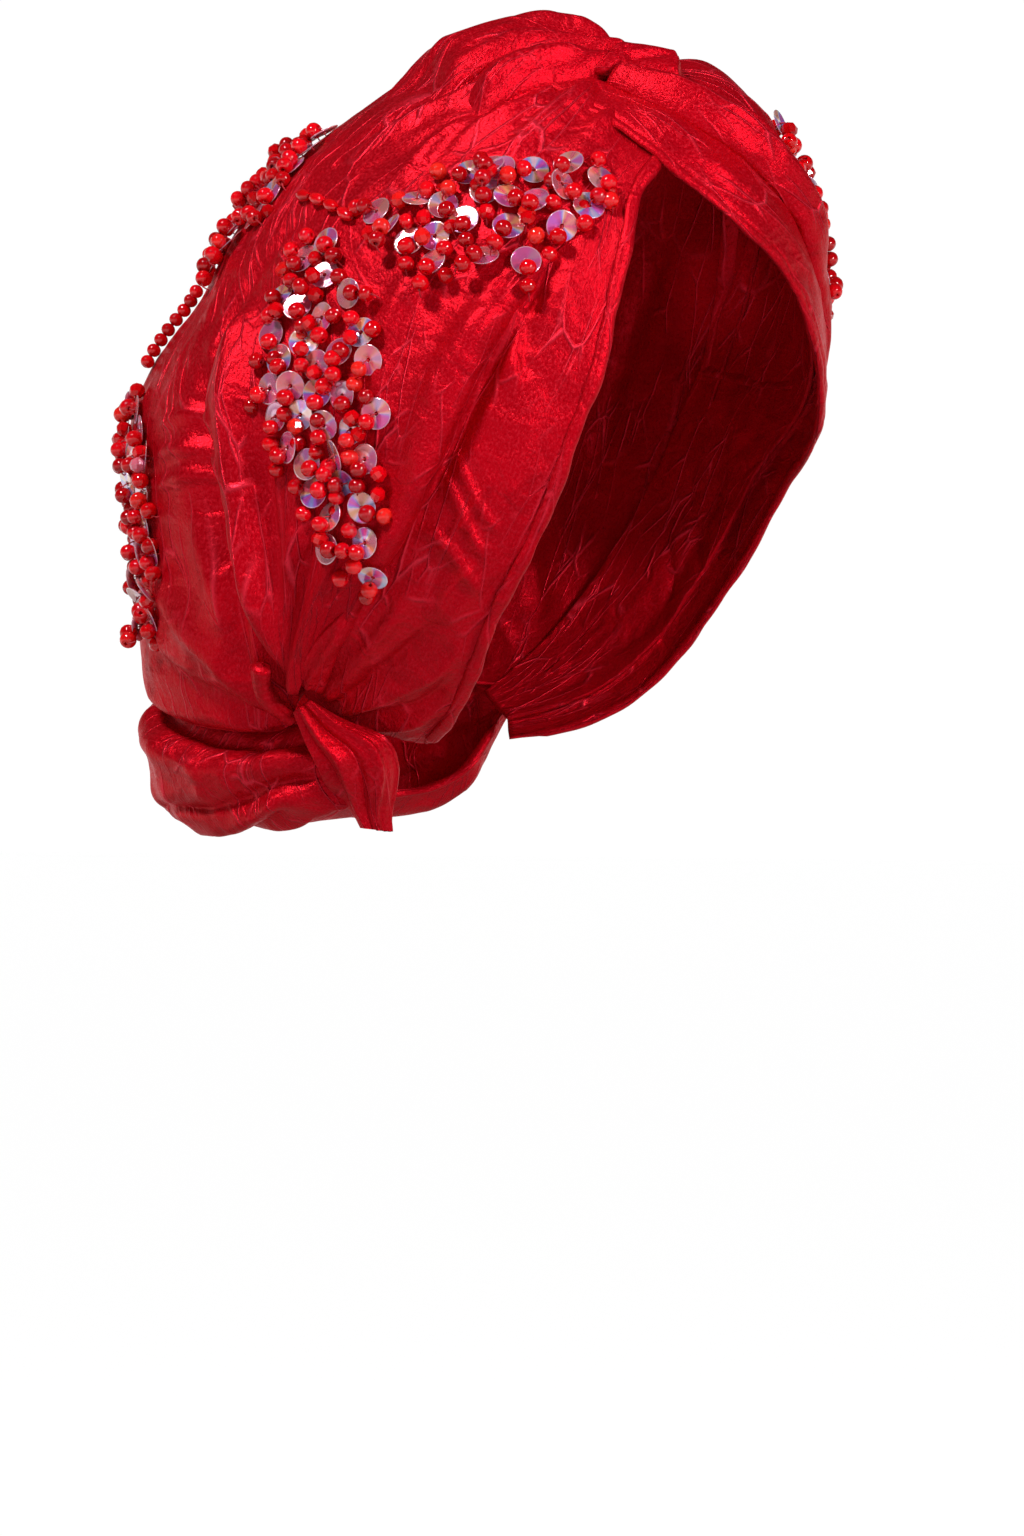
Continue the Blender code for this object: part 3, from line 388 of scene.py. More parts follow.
def hem(name, edge, half_wide, half_deep, satin):
    """A rolled hem: the cloth's edge turned in on itself and sewn, as a flattened roll along the edge."""
    tangent = np.gradient(edge, axis=0)
    tangent /= np.linalg.norm(tangent, axis=1)[:, None]
    out = edge / np.linalg.norm(edge, axis=1)[:, None]
    side = np.cross(tangent, out)
    side /= np.linalg.norm(side, axis=1)[:, None]
    out = np.cross(side, tangent)
    count = len(edge)
    sides = 12
    run = np.concatenate([[0], np.cumsum(np.linalg.norm(np.diff(edge, axis=0), axis=1))])
    swell = 1 + 0.10 * np.sin(run / 5.3) + 0.07 * np.sin(run / 2.1 + 1)
    ends = np.clip(np.minimum(np.arange(count), np.arange(count)[::-1]) / 4, 0.25, 1)
    points = []
    for k in range(sides):
        a = 2 * math.pi * k / sides
        points.append(edge + (half_wide * math.cos(a) * side + half_deep * math.sin(a) * out) * (swell * ends)[:, None])
    points = np.array(points).transpose(1, 0, 2).reshape(-1, 3) * MM
    faces = []
    for i in range(count - 1):
        for k in range(sides):
            n = (k + 1) % sides
            faces.append((i * sides + k, i * sides + n, (i + 1) * sides + n, (i + 1) * sides + k))
    faces.append(tuple(range(sides))[::-1])
    faces.append(tuple(range((count - 1) * sides, count * sides)))
    mesh = bpy.data.meshes.new(name)
    mesh.from_pydata(points.tolist(), [], faces)
    mesh.update()
    corner = np.empty(len(mesh.loops), np.int32)
    mesh.loops.foreach_get("vertex_index", corner)
    flat = np.stack([np.tile(np.arange(sides) * 0.09, count), np.repeat(run / 10, sides)], axis=1)
    mesh.uv_layers.new(name="cloth").data.foreach_set("uv", flat[corner].ravel())
    mesh.materials.append(satin)
    mesh.shade_smooth()
    made = bpy.data.objects.new(name, mesh)
    bpy.context.scene.collection.objects.link(made)
    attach(made, "root")
    return made


CAP_LINES = (
    {"at": 0.00, "line": ((26, 49), (32, 38), (41, 31), (49, 25), (55, 17), (63, 4), (71, -13),
                          (80, -28), (88, -36), (95, -42.5))},
    {"at": 0.10, "line": ((31, 57), (55, 45), (74, 27), (80, 9), (86, -14), (94, -31), (104, -43.5))},
    {"at": 0.18, "line": ((36, 64), (88, 57), (108, 39), (100, 15), (98, -8), (101, -29), (114, -50))},
    {"at": 0.25, "line": ((42, 69), (132, 62), (126, 36), (117, 12), (113, -12), (110, -32), (120, -52.5))},
    {"at": 0.28, "line": ((45, 72), (142, 62), (134, 36), (124, 14), (119, -14), (116, -35), (124, -54))},
    {"at": 0.31, "line": ((49, 74), (150, 62), (141, 36), (131, 14), (124, -14), (121, -37), (128, -55.5))},
    {"at": 0.39, "line": ((60, 78), (163, 63), (158, 36), (152, 12), (148, -12), (145, -33), (143, -50))},
    {"at": 0.51, "line": ((70, 83), (180, 66), (180, 36), (180, 10), (176, -14), (168, -38))},
    {"at": 0.61, "line": ((-60, 80), (-150, 63), (-152, 36), (-155, 10), (-158, -14), (-164, -39))},
    {"at": 0.77, "line": ((-30, 72), (-96, 58), (-114, 38), (-116, 14), (-122, -12), (-134, -49))},
    {"at": 0.885, "line": ((-20, 64), (-60, 47), (-78, 27), (-86, 8), (-94, -14), (-103, -36), (-115, -57))},
    {"at": 1.00, "line": ((-14, 55), (-32, 41), (-42, 31), (-50, 22), (-57, 13), (-64, 1), (-72, -13),
                          (-80, -28), (-89, -41), (-100, -54))},
)
CAP_PLEATS = (
    {"name": "lap over the back", "top": 0.260, "foot": 0.262, "half": 0.020, "high": 6.2, "run": (0.48, 0.97)},
    {"name": "groove behind it", "top": 0.312, "foot": 0.308, "half": 0.012, "high": -5.6, "run": (0.55, 0.99)},
    {"name": "front lap", "top": 0.022, "foot": 0.022, "half": 0.024, "high": 4.2, "run": (0.34, 0.92)},
    {"name": "side hollow", "top": 0.150, "foot": 0.155, "half": 0.025, "high": -1.2, "run": (0.66, 0.95)},
    {"name": "back swag 1", "top": 0.355, "foot": 0.39, "half": 0.025, "high": 1.4, "run": (0.66, 0.95)},
    {"name": "back swag 2", "top": 0.46, "foot": 0.51, "half": 0.040, "high": 1.8, "run": (0.55, 0.92)},
    {"name": "back swag 3", "top": 0.60, "foot": 0.585, "half": 0.040, "high": 1.6, "run": (0.55, 0.92)},
    {"name": "nape puff", "top": 0.49, "foot": 0.49, "half": 0.180, "high": 4.0, "run": (0.82, 1.20)},
    {"name": "left lap", "top": 0.965, "foot": 0.965, "half": 0.035, "high": 2.0, "run": (0.45, 0.88)},
    {"name": "left hollow", "top": 0.80, "foot": 0.80, "half": 0.040, "high": -1.2, "run": (0.55, 0.95)},
)
CAP_FOLDS = (
    {"name": "crown pleat 1", "line": ((21, 62), (40, 59), (56, 56), (73, 53), (84, 46), (92, 40)),
     "high": 4.6, "left": 5.7, "right": 2.6, "ends": (0.1, 0.5)},
    {"name": "crown pleat 2", "line": ((22, 60), (43, 58), (59, 56), (70, 53), (77, 47), (80, 40)),
     "high": -4.6, "left": 2.6, "right": 3.2, "ends": (0.1, 0.5)},
    {"name": "crown pleat 3", "line": ((24, 58), (40, 54), (53, 48), (61, 42)),
     "high": 3.9, "left": 4.4, "right": 2.3, "ends": (0.15, 0.5)},
    {"name": "crown pleat 4", "line": ((23, 52), (33, 49), (43, 44)),
     "high": 2.5, "left": 3.5, "right": 2.3, "ends": (0.15, 0.5)},
    {"name": "crown pleat 5", "line": ((37, 64), (58, 62), (81, 62), (100, 58), (111, 51)),
     "high": 4.6, "left": 4.4, "right": 3.2, "ends": (0.15, 0.5)},
    {"name": "crown pleat 6", "line": ((50, 64), (74, 63), (98, 60), (118, 52)),
     "high": -3.4, "left": 2.6, "right": 2.6, "ends": (0.2, 0.5)},
    {"name": "long diagonal, soft", "line": ((60, 18), (66, 12), (71, 4), (75, -6), (80, -18)),
     "high": 2.4, "left": 4.8, "right": 4},
    {"name": "under the front leaf", "line": ((49, 23), (54, 19), (59, 12), (65, 3)),
     "high": -1.7, "left": 2.5, "right": 2.5},
    {"name": "groove, near lip", "line": ((117, -16), (113, -26), (111, -36), (113, -46), (119, -54)),
     "high": 2.4, "left": 3, "right": 3.3, "ends": (0.3, 0.15)},
    {"name": "groove", "line": ((124, -10), (121, -16), (118, -26), (116, -36), (117, -45), (122, -54)),
     "high": -4.5, "left": 2.3, "right": 2.5, "ends": (0.35, 0.1)},
    {"name": "groove, far lip", "line": ((132, -14), (127, -25), (123, -34), (121, -42), (124, -51)),
     "high": 2.7, "left": 3.7, "right": 4.6, "ends": (0.3, 0.15)},
    {"name": "groove crease", "line": ((128, -6), (124, -14), (120, -24), (119, -34)),
     "high": 1.5, "left": 1.6, "right": 2.1},
    {"name": "flap side", "line": ((90, -22), (97, -32), (106, -42), (118, -51)),
     "high": 2.7, "left": 3, "right": 2.6, "ends": (0.35, 0.1)},
    {"name": "flap side, hollow", "line": ((95, -20), (101, -30), (109, -41), (119, -51)),
     "high": -2.4, "left": 1.9, "right": 2.1, "ends": (0.35, 0.1)},
    {"name": "side fold", "line": ((100, -14), (104, -26), (108, -38), (118, -51)),
     "high": 2.2, "left": 2.8, "right": 2.8, "ends": (0.4, 0.1)},
    {"name": "back crease 1", "line": ((142, -8), (130, -7), (121, -10), (114, -14)),
     "high": 2.1, "left": 1.8, "right": 2.5},
    {"name": "back crease 2", "line": ((141, -13), (128, -12), (118, -16)),
     "high": 1.8, "left": 1.8, "right": 2.1},
    {"name": "back crease 3", "line": ((140, -3), (129, -1), (120, -4)),
     "high": 1.5, "left": 2.1, "right": 2.1},
    {"name": "nape fold 1", "line": ((150, -22), (139, -31), (130, -39), (126, -47), (124, -54)),
     "high": 3.3, "left": 3.9, "right": 3.5, "ends": (0.4, 0.1)},
    {"name": "nape fold 2", "line": ((158, -30), (146, -38), (135, -46), (127, -54)),
     "high": -3, "left": 2.6, "right": 2.8, "ends": (0.4, 0.1)},
    {"name": "nape fold 3", "line": ((166, -33), (152, -42), (138, -49), (128, -55)),
     "high": 3, "left": 2.8, "right": 2.8, "ends": (0.4, 0.1)},
    {"name": "behind the side leaf 1", "line": ((112, 42), (120, 34), (126, 24), (127, 10), (124, -3)),
     "high": -1.8, "left": 4.4, "right": 4.4},
    {"name": "behind the side leaf 2", "line": ((119, 21), (122, 11), (123, -1), (124, -12)),
     "high": 2, "left": 3.5, "right": 3.5},
    {"name": "before the side leaf", "line": ((78, 26), (81, 16), (83, 6), (84, -6)),
     "high": 1.8, "left": 3.5, "right": 4},
    {"name": "under the side leaf", "line": ((108, -6), (109, -15), (107, -25), (106, -38)),
     "high": -1.8, "left": 3, "right": 3.2},
    {"name": "back, upper", "line": ((170, 52), (176, 36), (184, 18), (-174, 0)),
     "high": 2.1, "left": 4.4, "right": 5.3},
    {"name": "back, middle", "line": ((-170, 44), (-168, 24), (-171, 4), (-176, -16)),
     "high": -2.1, "left": 4.4, "right": 4.4},
    {"name": "left nape fold 1", "line": ((-150, -22), (-139, -31), (-128, -40), (-118, -50)),
     "high": 3, "left": 3.5, "right": 3.5},
    {"name": "left nape fold 2", "line": ((-134, -8), (-126, -22), (-118, -36), (-110, -50)),
     "high": -2.7, "left": 3, "right": 3},
    {"name": "left nape fold 3", "line": ((-120, 4), (-114, -12), (-108, -28), (-104, -46)),
     "high": 2.4, "left": 3.9, "right": 3.5},
    {"name": "left side", "line": ((-70, 40), (-84, 22), (-92, 4), (-96, -14)),
     "high": 2.1, "left": 4.4, "right": 4.4},
    {"name": "left crown pleat 1", "line": ((-30, 70), (-66, 62), (-98, 50), (-112, 36)),
     "high": 2.5, "left": 4.4, "right": 3.5},
    {"name": "left crown pleat 2", "line": ((-28, 64), (-60, 56), (-84, 42)),
     "high": -2.1, "left": 3, "right": 3},
    {"name": "left crown pleat 3", "line": ((-60, 74), (-110, 68), (-140, 56), (-152, 40)),
     "high": 2.4, "left": 4.4, "right": 4.4},
)
CAP_TUCKS = (
    {"edge": "start", "wide": 16.0, "deep": 2.9, "round": False, "run": (-0.2, 0.36)},
    {"edge": "start", "wide": 2.8, "deep": 6.4, "round": True, "run": (0.34, 2.0)},
    {"edge": "end", "wide": 3.4, "deep": 3.4, "round": True},
    {"edge": "top", "wide": 8.0, "deep": 2.5, "round": False},
)
cap_s = uneven(255, (0, 0.02, 0.42, 0.55, 0.95, 1), (1.6, 1.25, 1.25, 0.6, 0.6, 1.2))
cap_t = uneven(176, (0, 0.5, 1), (0.8, 1.0, 1.15))
cap_way = lay(CAP_LINES, cap_s, cap_t)
cap_high = (CLOTH + LAYER_STEP + pleat_height(CAP_PLEATS, cap_s[:, None], cap_t[None, :]) + fold_heights(cap_way, CAP_FOLDS)
            + crushed(cap_way, (470, 220), 11, 170, (22, 60), (2.8, 5.5), (0.25, 0.75), 26, 0.30)
            + crushed(cap_way, (470, 220), 12, 620, (10, 34), (1.2, 2.0), (0.14, 0.42), 38, 0.40))
cap_base = cap_way * (form_reach(cap_way) + cap_high)[..., None]
cap_out = cap_base - cap_way * tuck_height(cap_base, CAP_TUCKS)[..., None]
cap = sewn("satin_cap_panel", "cap_panel", cap_out, SATIN)

# Front panels. On each side a smooth piece of the same satin runs from under the edge band down to
# the nape. Its inner edge is the hem of the face opening, rolled and sewn by hand, and its outer
# edge lies under the cap panel's long diagonal lap.
RIGHT_PANEL_LINES = (
    {"at": 0.0, "line": ((22, 45), (26, 40), (33, 34), (37, 25), (40, 16), (43, 4), (47, -7), (50, -17),
                         (55, -30), (61, -42), (68, -56), (82, -68), (106, -74))},
    {"at": 1.0, "line": ((33, 53), (40, 46), (48, 40), (55, 32), (61, 24), (69, 12), (77, -2),
                         (83, -15), (91, -27), (99, -35), (108, -43), (117, -50), (122, -56))},
)
RIGHT_PANEL_FOLDS = (
    {"name": "crease star 1", "line": ((69, -9), (67, -14), (64, -20), (59, -26)), "high": 1.5, "left": 1.5, "right": 2.2},
    {"name": "crease star 2", "line": ((72, -13), (69, -18), (66, -24), (62, -32)), "high": 1.8, "left": 1.5, "right": 2.3},
    {"name": "crease star 3", "line": ((77, -24), (73, -26), (68, -31), (63, -38)), "high": 1.8, "left": 1.6, "right": 2.5},
    {"name": "crease star 4", "line": ((60, -14), (64, -19), (68, -25), (74, -31)), "high": 1.2, "left": 1.4, "right": 1.6},
    {"name": "crease star 5", "line": ((64, -30), (70, -36), (76, -43)), "high": 1.2, "left": 1.6, "right": 1.8},
    {"name": "short fold", "line": ((55, 17), (57, 12), (58, 6), (57, -2)), "high": 2.1, "left": 2.7, "right": 3.6,
     "ends": (0.15, 0.5)},
    {"name": "short fold, hollow", "line": ((54, 14), (55, 8), (55, 2)), "high": -1.4, "left": 2.2, "right": 2.3},
    {"name": "long soft fold", "line": ((54, 4), (56, -8), (60, -22), (66, -36), (76, -50)), "high": 1.8, "left": 5.4,
     "right": 6.3},
    {"name": "hollow beside the lap", "line": ((47.5, 26.5), (53, 18.5), (61, 5.5), (69, -11), (77, -25)), "high": -3.6,
     "left": 3.2, "right": 3.2},
    {"name": "gather fan 1", "line": ((74, -31), (83, -40), (97, -49), (118, -56)), "high": 2.8, "left": 3.1, "right": 2.7,
     "ends": (0.4, 0.1)},
    {"name": "gather fan 2", "line": ((70, -40), (82, -48), (98, -54), (119, -57)), "high": -2.5, "left": 2.3,
     "right": 2.3, "ends": (0.4, 0.1)},
    {"name": "gather fan 3", "line": ((66, -45), (80, -55), (98, -58), (119, -58)), "high": 2.8, "left": 3.1,
     "right": 2.9, "ends": (0.4, 0.1)},
    {"name": "gather fan 4", "line": ((72, -54), (84, -61), (101, -62), (117, -60)), "high": -2.2, "left": 2.2,
     "right": 2.2, "ends": (0.4, 0.1)},
    {"name": "gather fan 5", "line": ((78, -62), (92, -66), (108, -65), (119, -60)), "high": 2.4, "left": 2.5,
     "right": 2.5, "ends": (0.4, 0.1)},
)
panel_s = uneven(96, (0, 0.2, 1), (1.2, 1.0, 1.0))
panel_t = np.linspace(0, 1, 210)
panel_way = lay(RIGHT_PANEL_LINES, panel_s, panel_t)
panel_high = (CLOTH - 0.1 * LAYER_STEP + fold_heights(panel_way, RIGHT_PANEL_FOLDS)
              + crushed(panel_way, (70, 250), 21, 26, (20, 48), (2.8, 5.0), (0.2, 0.55), 24, 0.3)
              + crushed(panel_way, (70, 250), 22, 120, (8, 26), (1.2, 2.0), (0.12, 0.36), 38, 0.4))
panel_out = panel_way * (form_reach(panel_way) + panel_high)[..., None]
right_panel = sewn("satin_front_panel_right", "front_panel_right", panel_out, SATIN)
right_edge = panel_out[0] + 0.2 * panel_way[0]
right_hem = hem("rolled_hem_right", right_edge[4:-2], 2.0, 1.35, SATIN)

LEFT_PANEL_LINES = (
    {"at": 0.0, "line": ((6, 31), (0, 26), (-6, 20), (-12, 13), (-19, 7), (-28, 1), (-38, -4), (-48, -11),
                         (-57, -24), (-64, -37), (-72, -50), (-87, -61), (-110, -67))},
    {"at": 1.0, "line": ((-18, 50), (-28, 45), (-38, 39), (-46, 33), (-54, 27), (-62, 18), (-69, 8),
                         (-76, -5), (-83, -17), (-91, -30), (-99, -41), (-109, -51), (-120, -58))},
)
LEFT_PANEL_FOLDS = (
    {"name": "crease 1", "line": ((-69, -9), (-68, -16), (-64, -24), (-60, -32)), "high": 1.1, "left": 2.6, "right": 1.8},
    {"name": "crease 2", "line": ((-75, -20), (-72, -28), (-69, -38)), "high": 1.0, "left": 2.4, "right": 1.8},
    {"name": "soft fold", "line": ((-58, 4), (-60, -10), (-66, -26), (-76, -42), (-90, -54)), "high": 1.4, "left": 5.0,
     "right": 5.0},
)
left_t = np.linspace(0, 1, 150)
left_s = np.linspace(0, 1, 60)
left_way = lay(LEFT_PANEL_LINES, left_s, left_t)
left_high = (CLOTH - 0.15 * LAYER_STEP + fold_heights(left_way, LEFT_PANEL_FOLDS)
             + crushed(left_way, (66, 200), 31, 22, (20, 44), (2.8, 5.0), (0.2, 0.5), 24, 0.3)
             + crushed(left_way, (66, 200), 32, 70, (10, 26), (1.5, 2.4), (0.12, 0.34), 38, 0.4))
left_out = left_way * (form_reach(left_way) + left_high)[..., None]
left_panel = sewn("satin_front_panel_left", "front_panel_left", left_out, SATIN)

# Edge band. A smooth doubled strip starts in a point at the crown, crosses over the right panel at the
# peak of the face opening and follows the brow to the left side. Its lower edge is a rolled hem.
BAND_LINES = (
    {"at": 0.0, "line": ((44, 60), (40, 56), (35, 51), (31, 46), (28, 41), (24, 35), (19, 30), (14, 26),
                         (9, 23), (3, 18), (-4, 11), (-11, 5), (-18, -1), (-27, -6), (-37, -11),
                         (-45, -19), (-53, -31), (-60, -44), (-68, -57), (-84, -67), (-108, -71))},
    {"at": 1.0, "line": ((41, 63), (34, 62), (27, 59), (23, 54), (20, 49), (17, 44), (12, 40), (7, 35),
                         (2, 31), (-4, 25), (-10, 18), (-17, 11), (-25, 5), (-34, 0), (-44, -5),
                         (-53, -12), (-61, -25), (-68, -38), (-76, -50), (-90, -60), (-111, -65))},
)
BAND_FOLDS = (
    {"name": "soft fold along it", "line": ((30, 55), (25, 46), (19, 37), (11, 30), (2, 23), (-8, 14)),
     "high": 1.2, "left": 2.7, "right": 2.7},
    {"name": "crease 1", "line": ((24, 49), (21, 43), (16, 38)), "high": 0.9, "left": 1.4, "right": 1.8},
    {"name": "crease 2", "line": ((14, 37), (10, 32), (4, 28)), "high": 0.9, "left": 1.4, "right": 1.8},
)
BAND_TUCKS = (
    {"edge": "end", "wide": 3.0, "deep": 2.6, "round": True},
    {"edge": "start", "wide": 2.0, "deep": 1.2, "round": True},
)
band_s = np.linspace(0, 1, 34)
band_t = uneven(270, (0, 0.45, 0.6, 1), (1.4, 1.2, 0.7, 0.6))
band_way = lay(BAND_LINES, band_s, band_t)
band_high = (CLOTH + 1.7 * LAYER_STEP + fold_heights(band_way, BAND_FOLDS)
             + crushed(band_way, (16, 330), 41, 36, (12, 36), (1.8, 3.0), (0.15, 0.45), 20, 0.3)
             + crushed(band_way, (16, 330), 42, 60, (6, 16), (1.2, 1.8), (0.12, 0.30), 40, 0.4))
band_base = band_way * (form_reach(band_way) + band_high)[..., None]
band_out = band_base - band_way * tuck_height(band_base, BAND_TUCKS)[..., None]
band = sewn("satin_edge_band", "front_band", band_out, SATIN)
band_edge = band_out[0] - 0.4 * band_way[0]
band_hem = hem("rolled_hem_brow", band_edge[10:-2], 1.9, 1.3, SATIN)

# Crown folds. The wrap's upper edge is twisted at the front of the crown. From the twist a roll runs
# above the band to the left, two fuller rolls spread back over the crown, a flat panel covers the far
# side, and the twist itself is pinched into a small pleat. Their edges are folded, and tucked where they end.
FRONT_ROLL_LINES = (
    {"at": 0.0, "line": ((28, 57), (25, 52), (22, 48), (18, 43), (12, 38), (7, 34), (1, 29), (-5, 23),
                         (-12, 16), (-19, 9), (-28, 3))},
    {"at": 1.0, "line": ((19, 59), (15, 54), (11, 50), (7, 45), (2, 41), (-4, 36), (-10, 31), (-16, 25),
                         (-23, 18), (-29, 11), (-35, 5))},
)
LEFT_CROWN_LINES = (
    {"at": 0.0, "line": ((20, 56), (16, 51), (11, 46), (6, 40), (0, 35), (-8, 27), (-16, 18), (-24, 11.5), (-33, 5))},
    {"at": 0.5, "line": ((12, 60), (2, 57), (-5, 53), (-12, 47), (-19, 40), (-26, 32), (-34, 23), (-42, 14), (-49, 7))},
    {"at": 1.0, "line": ((4, 65), (-14, 66), (-27, 61), (-38, 54), (-46, 46), (-52, 38), (-58, 29), (-62, 20), (-66, 11))},
)
FRONT_TWIST_LINES = (
    {"at": 0.0, "line": ((22, 60), (32, 59), (39, 59), (46, 59), (53, 58), (60, 56), (67, 52), (73, 48))},
    {"at": 1.0, "line": ((16, 63), (24, 67), (34, 70), (47, 71), (58, 70), (69, 66), (76, 60), (78, 51))},
)
CROWN_TWIST_LINES = (
    {"at": 0.0, "line": ((13, 62), (22, 65), (32, 68), (46, 69), (60, 68), (73, 65), (88, 60), (102, 53))},
    {"at": 0.5, "line": ((6, 64), (16, 72), (30, 78), (60, 82), (96, 79), (108, 71), (112, 62), (110, 54))},
    {"at": 1.0, "line": ((0, 66), (-10, 76), (-50, 84), (-150, 85), (160, 79), (136, 70), (124, 62), (118, 54))},
)
TOP_PLEAT_LINES = (
    {"at": 0.0, "line": ((31, 60), (20, 57), (10, 52))},
    {"at": 1.0, "line": ((15, 63.5), (7, 62), (0, 58.5))},
)
CROWN_SHEETS = (
    {"name": "satin_far_crown_panel", "node": "crown_panel_left", "lines": LEFT_CROWN_LINES, "layer": 2.0,
     "grid": (96, 90), "size": (85, 100), "seed": 51,
     "pleats": ({"top": 0.62, "foot": 0.62, "half": 0.20, "high": 3.2, "run": (0.06, 0.42)},
                {"top": 0.84, "foot": 0.84, "half": 0.10, "high": 1.4, "run": (0.20, 0.90)}),
     "folds": ({"line": ((4, 61), (-10, 58), (-22, 52), (-34, 43), (-44, 32)), "high": 2.2, "left": 4.0, "right": 3.0},
               {"line": ((8, 57), (-2, 50), (-12, 41), (-22, 31)), "high": -1.7, "left": 2.6, "right": 2.6}),
     "tucks": ({"edge": "end", "wide": 9.0, "deep": 4.6, "round": False},
               {"edge": "foot", "wide": 9.0, "deep": 4.6, "round": False})},
    {"name": "satin_front_roll", "node": "front_roll", "lines": FRONT_ROLL_LINES, "layer": 2.6,
     "grid": (44, 120), "size": (22, 120), "seed": 61,
     "pleats": ({"top": 0.42, "foot": 0.45, "half": 0.34, "high": 4.2, "run": (-0.1, 0.66)},),
     "folds": ({"line": ((24, 57), (18, 50), (10, 42), (1, 34), (-10, 25)), "high": 1.4, "left": 1.8, "right": 2.2},),
     "tucks": ({"edge": "start", "wide": 3.4, "deep": 3.6, "round": True},
               {"edge": "end", "wide": 4.5, "deep": 3.6, "round": False},
               {"edge": "foot", "wide": 16.0, "deep": 4.8, "round": False})},
    {"name": "satin_crown_roll_front", "node": "crown_roll_front", "lines": FRONT_TWIST_LINES, "layer": 2.2,
     "grid": (56, 120), "size": (22, 100), "seed": 71,
     "pleats": ({"top": 0.34, "foot": 0.42, "half": 0.26, "high": 5.0, "run": (-0.1, 0.74)},
                {"top": 0.78, "foot": 0.74, "half": 0.12, "high": 1.2, "run": (0.10, 0.60)}),
     "folds": ({"line": ((23, 63), (38, 63), (52, 62), (64, 58)), "high": 1.5, "left": 1.8, "right": 2.0},
               {"line": ((24, 65), (40, 67), (56, 66), (68, 61)), "high": -1.5, "left": 1.6, "right": 1.6}),
     "tucks": ({"edge": "start", "wide": 4.2, "deep": 4.2, "round": True, "run": (-0.2, 0.82)},
               {"edge": "top", "wide": 5.0, "deep": 5.0, "round": True},
               {"edge": "foot", "wide": 30.0, "deep": 6.2, "round": False},
               {"edge": "end", "wide": 4.0, "deep": 3.0, "round": False})},
    {"name": "satin_crown_roll_back", "node": "crown_roll_back", "lines": CROWN_TWIST_LINES, "layer": 3.4,
     "grid": (120, 120), "size": (60, 110), "seed": 81,
     "pleats": ({"top": 0.16, "foot": 0.14, "half": 0.12, "high": 3.8, "run": (-0.1, 0.66)},
                {"top": 0.50, "foot": 0.46, "half": 0.20, "high": 4.2, "run": (0.0, 0.66)},
                {"top": 0.84, "foot": 0.80, "half": 0.12, "high": 2.4, "run": (0.12, 0.66)}),
     "folds": ({"line": ((12, 65), (24, 70), (44, 73), (66, 72), (84, 68)), "high": -2.5, "left": 2.4, "right": 2.4},
               {"line": ((10, 66), (22, 74), (44, 77), (74, 76), (98, 70)), "high": 2.1, "left": 3.0, "right": 2.2},
               {"line": ((40, 79), (76, 80), (104, 74), (112, 64)), "high": -1.8, "left": 2.6, "right": 2.6}),
     "tucks": ({"edge": "start", "wide": 4.6, "deep": 5.0, "round": True, "run": (-0.2, 0.74)},
               {"edge": "top", "wide": 6.0, "deep": 7.0, "round": True},
               {"edge": "start", "wide": 9.0, "deep": 6.8, "round": True, "run": (0.62, 2.0)},
               {"edge": "foot", "wide": 52.0, "deep": 8.0, "round": False},
               {"edge": "end", "wide": 14.0, "deep": 6.6, "round": False})},
    {"name": "satin_top_pleat", "node": "top_pleat", "lines": TOP_PLEAT_LINES, "layer": 4.3,
     "grid": (40, 40), "size": (18, 14), "seed": 91,
     "pleats": ({"top": 0.50, "foot": 0.50, "half": 0.30, "high": 2.8, "run": (-0.30, 1.10)},),
     "folds": ({"line": ((22, 59), (14, 58), (6, 56)), "high": -2, "left": 1.2, "right": 1.2},),
     "tucks": ({"edge": "start", "wide": 3.4, "deep": 4.2, "round": True},
               {"edge": "end", "wide": 3.4, "deep": 4.2, "round": True},
               {"edge": "foot", "wide": 5.0, "deep": 5.4, "round": False},
               {"edge": "top", "wide": 3.0, "deep": 3.4, "round": False})},
)
crown_pieces = []
for row in CROWN_SHEETS:
    s = uneven(row["grid"][0], (0, 0.12, 0.88, 1), (1.5, 1.0, 1.0, 1.2))
    t = np.linspace(0, 1, row["grid"][1])
    way = lay(row["lines"], s, t)
    high = (CLOTH + LAYER_STEP * row["layer"] + pleat_height(row["pleats"], s[:, None], t[None, :])
            + fold_heights(way, row["folds"])
            + crushed(way, row["size"], row["seed"], int(row["size"][1] * 0.3), (14, 40), (2.2, 4.0), (0.2, 0.5), 22, 0.3)
            + crushed(way, row["size"], row["seed"] + 1, int(row["size"][0] * 1.4), (8, 22), (1.1, 1.8), (0.12, 0.34), 40, 0.4))
    base = way * (form_reach(way) + high)[..., None]
    outer = base - way * tuck_height(base, row["tucks"])[..., None]
    made = sewn(row["name"], row["node"], outer, SATIN)
    crown_pieces.append(made)

# Nape. Behind the right ear the satin is gathered to one point. A turned flap lies above the gather, a
# small rolled loop beside it, the slack behind it hangs as a soft pouch, and the end hangs as a tail.
FLAP_LINES = (
    {"at": 0.0, "line": ((93, -37.5), (100, -40.5), (108, -44), (116, -48.5))},
    {"at": 1.0, "line": ((96, -43), (102, -47), (108, -51), (114, -54))},
)
FLAP_FOLDS = (
    {"line": ((92, -40), (100, -44), (108, -48), (116, -52)), "high": 1.8, "left": 1.6, "right": 2.2, "ends": (0.1, 0.1)},
    {"line": ((94, -37), (102, -41), (110, -46), (117, -50)), "high": 1.2, "left": 1.2, "right": 1.4, "ends": (0.1, 0.1)},
)
flap_s = np.linspace(-0.12, 1.1, 44)
flap_t = np.linspace(-0.10, 1.10, 60)
flap_way = lay(FLAP_LINES, np.clip(flap_s, 0, 1), np.clip(flap_t, 0, 1))
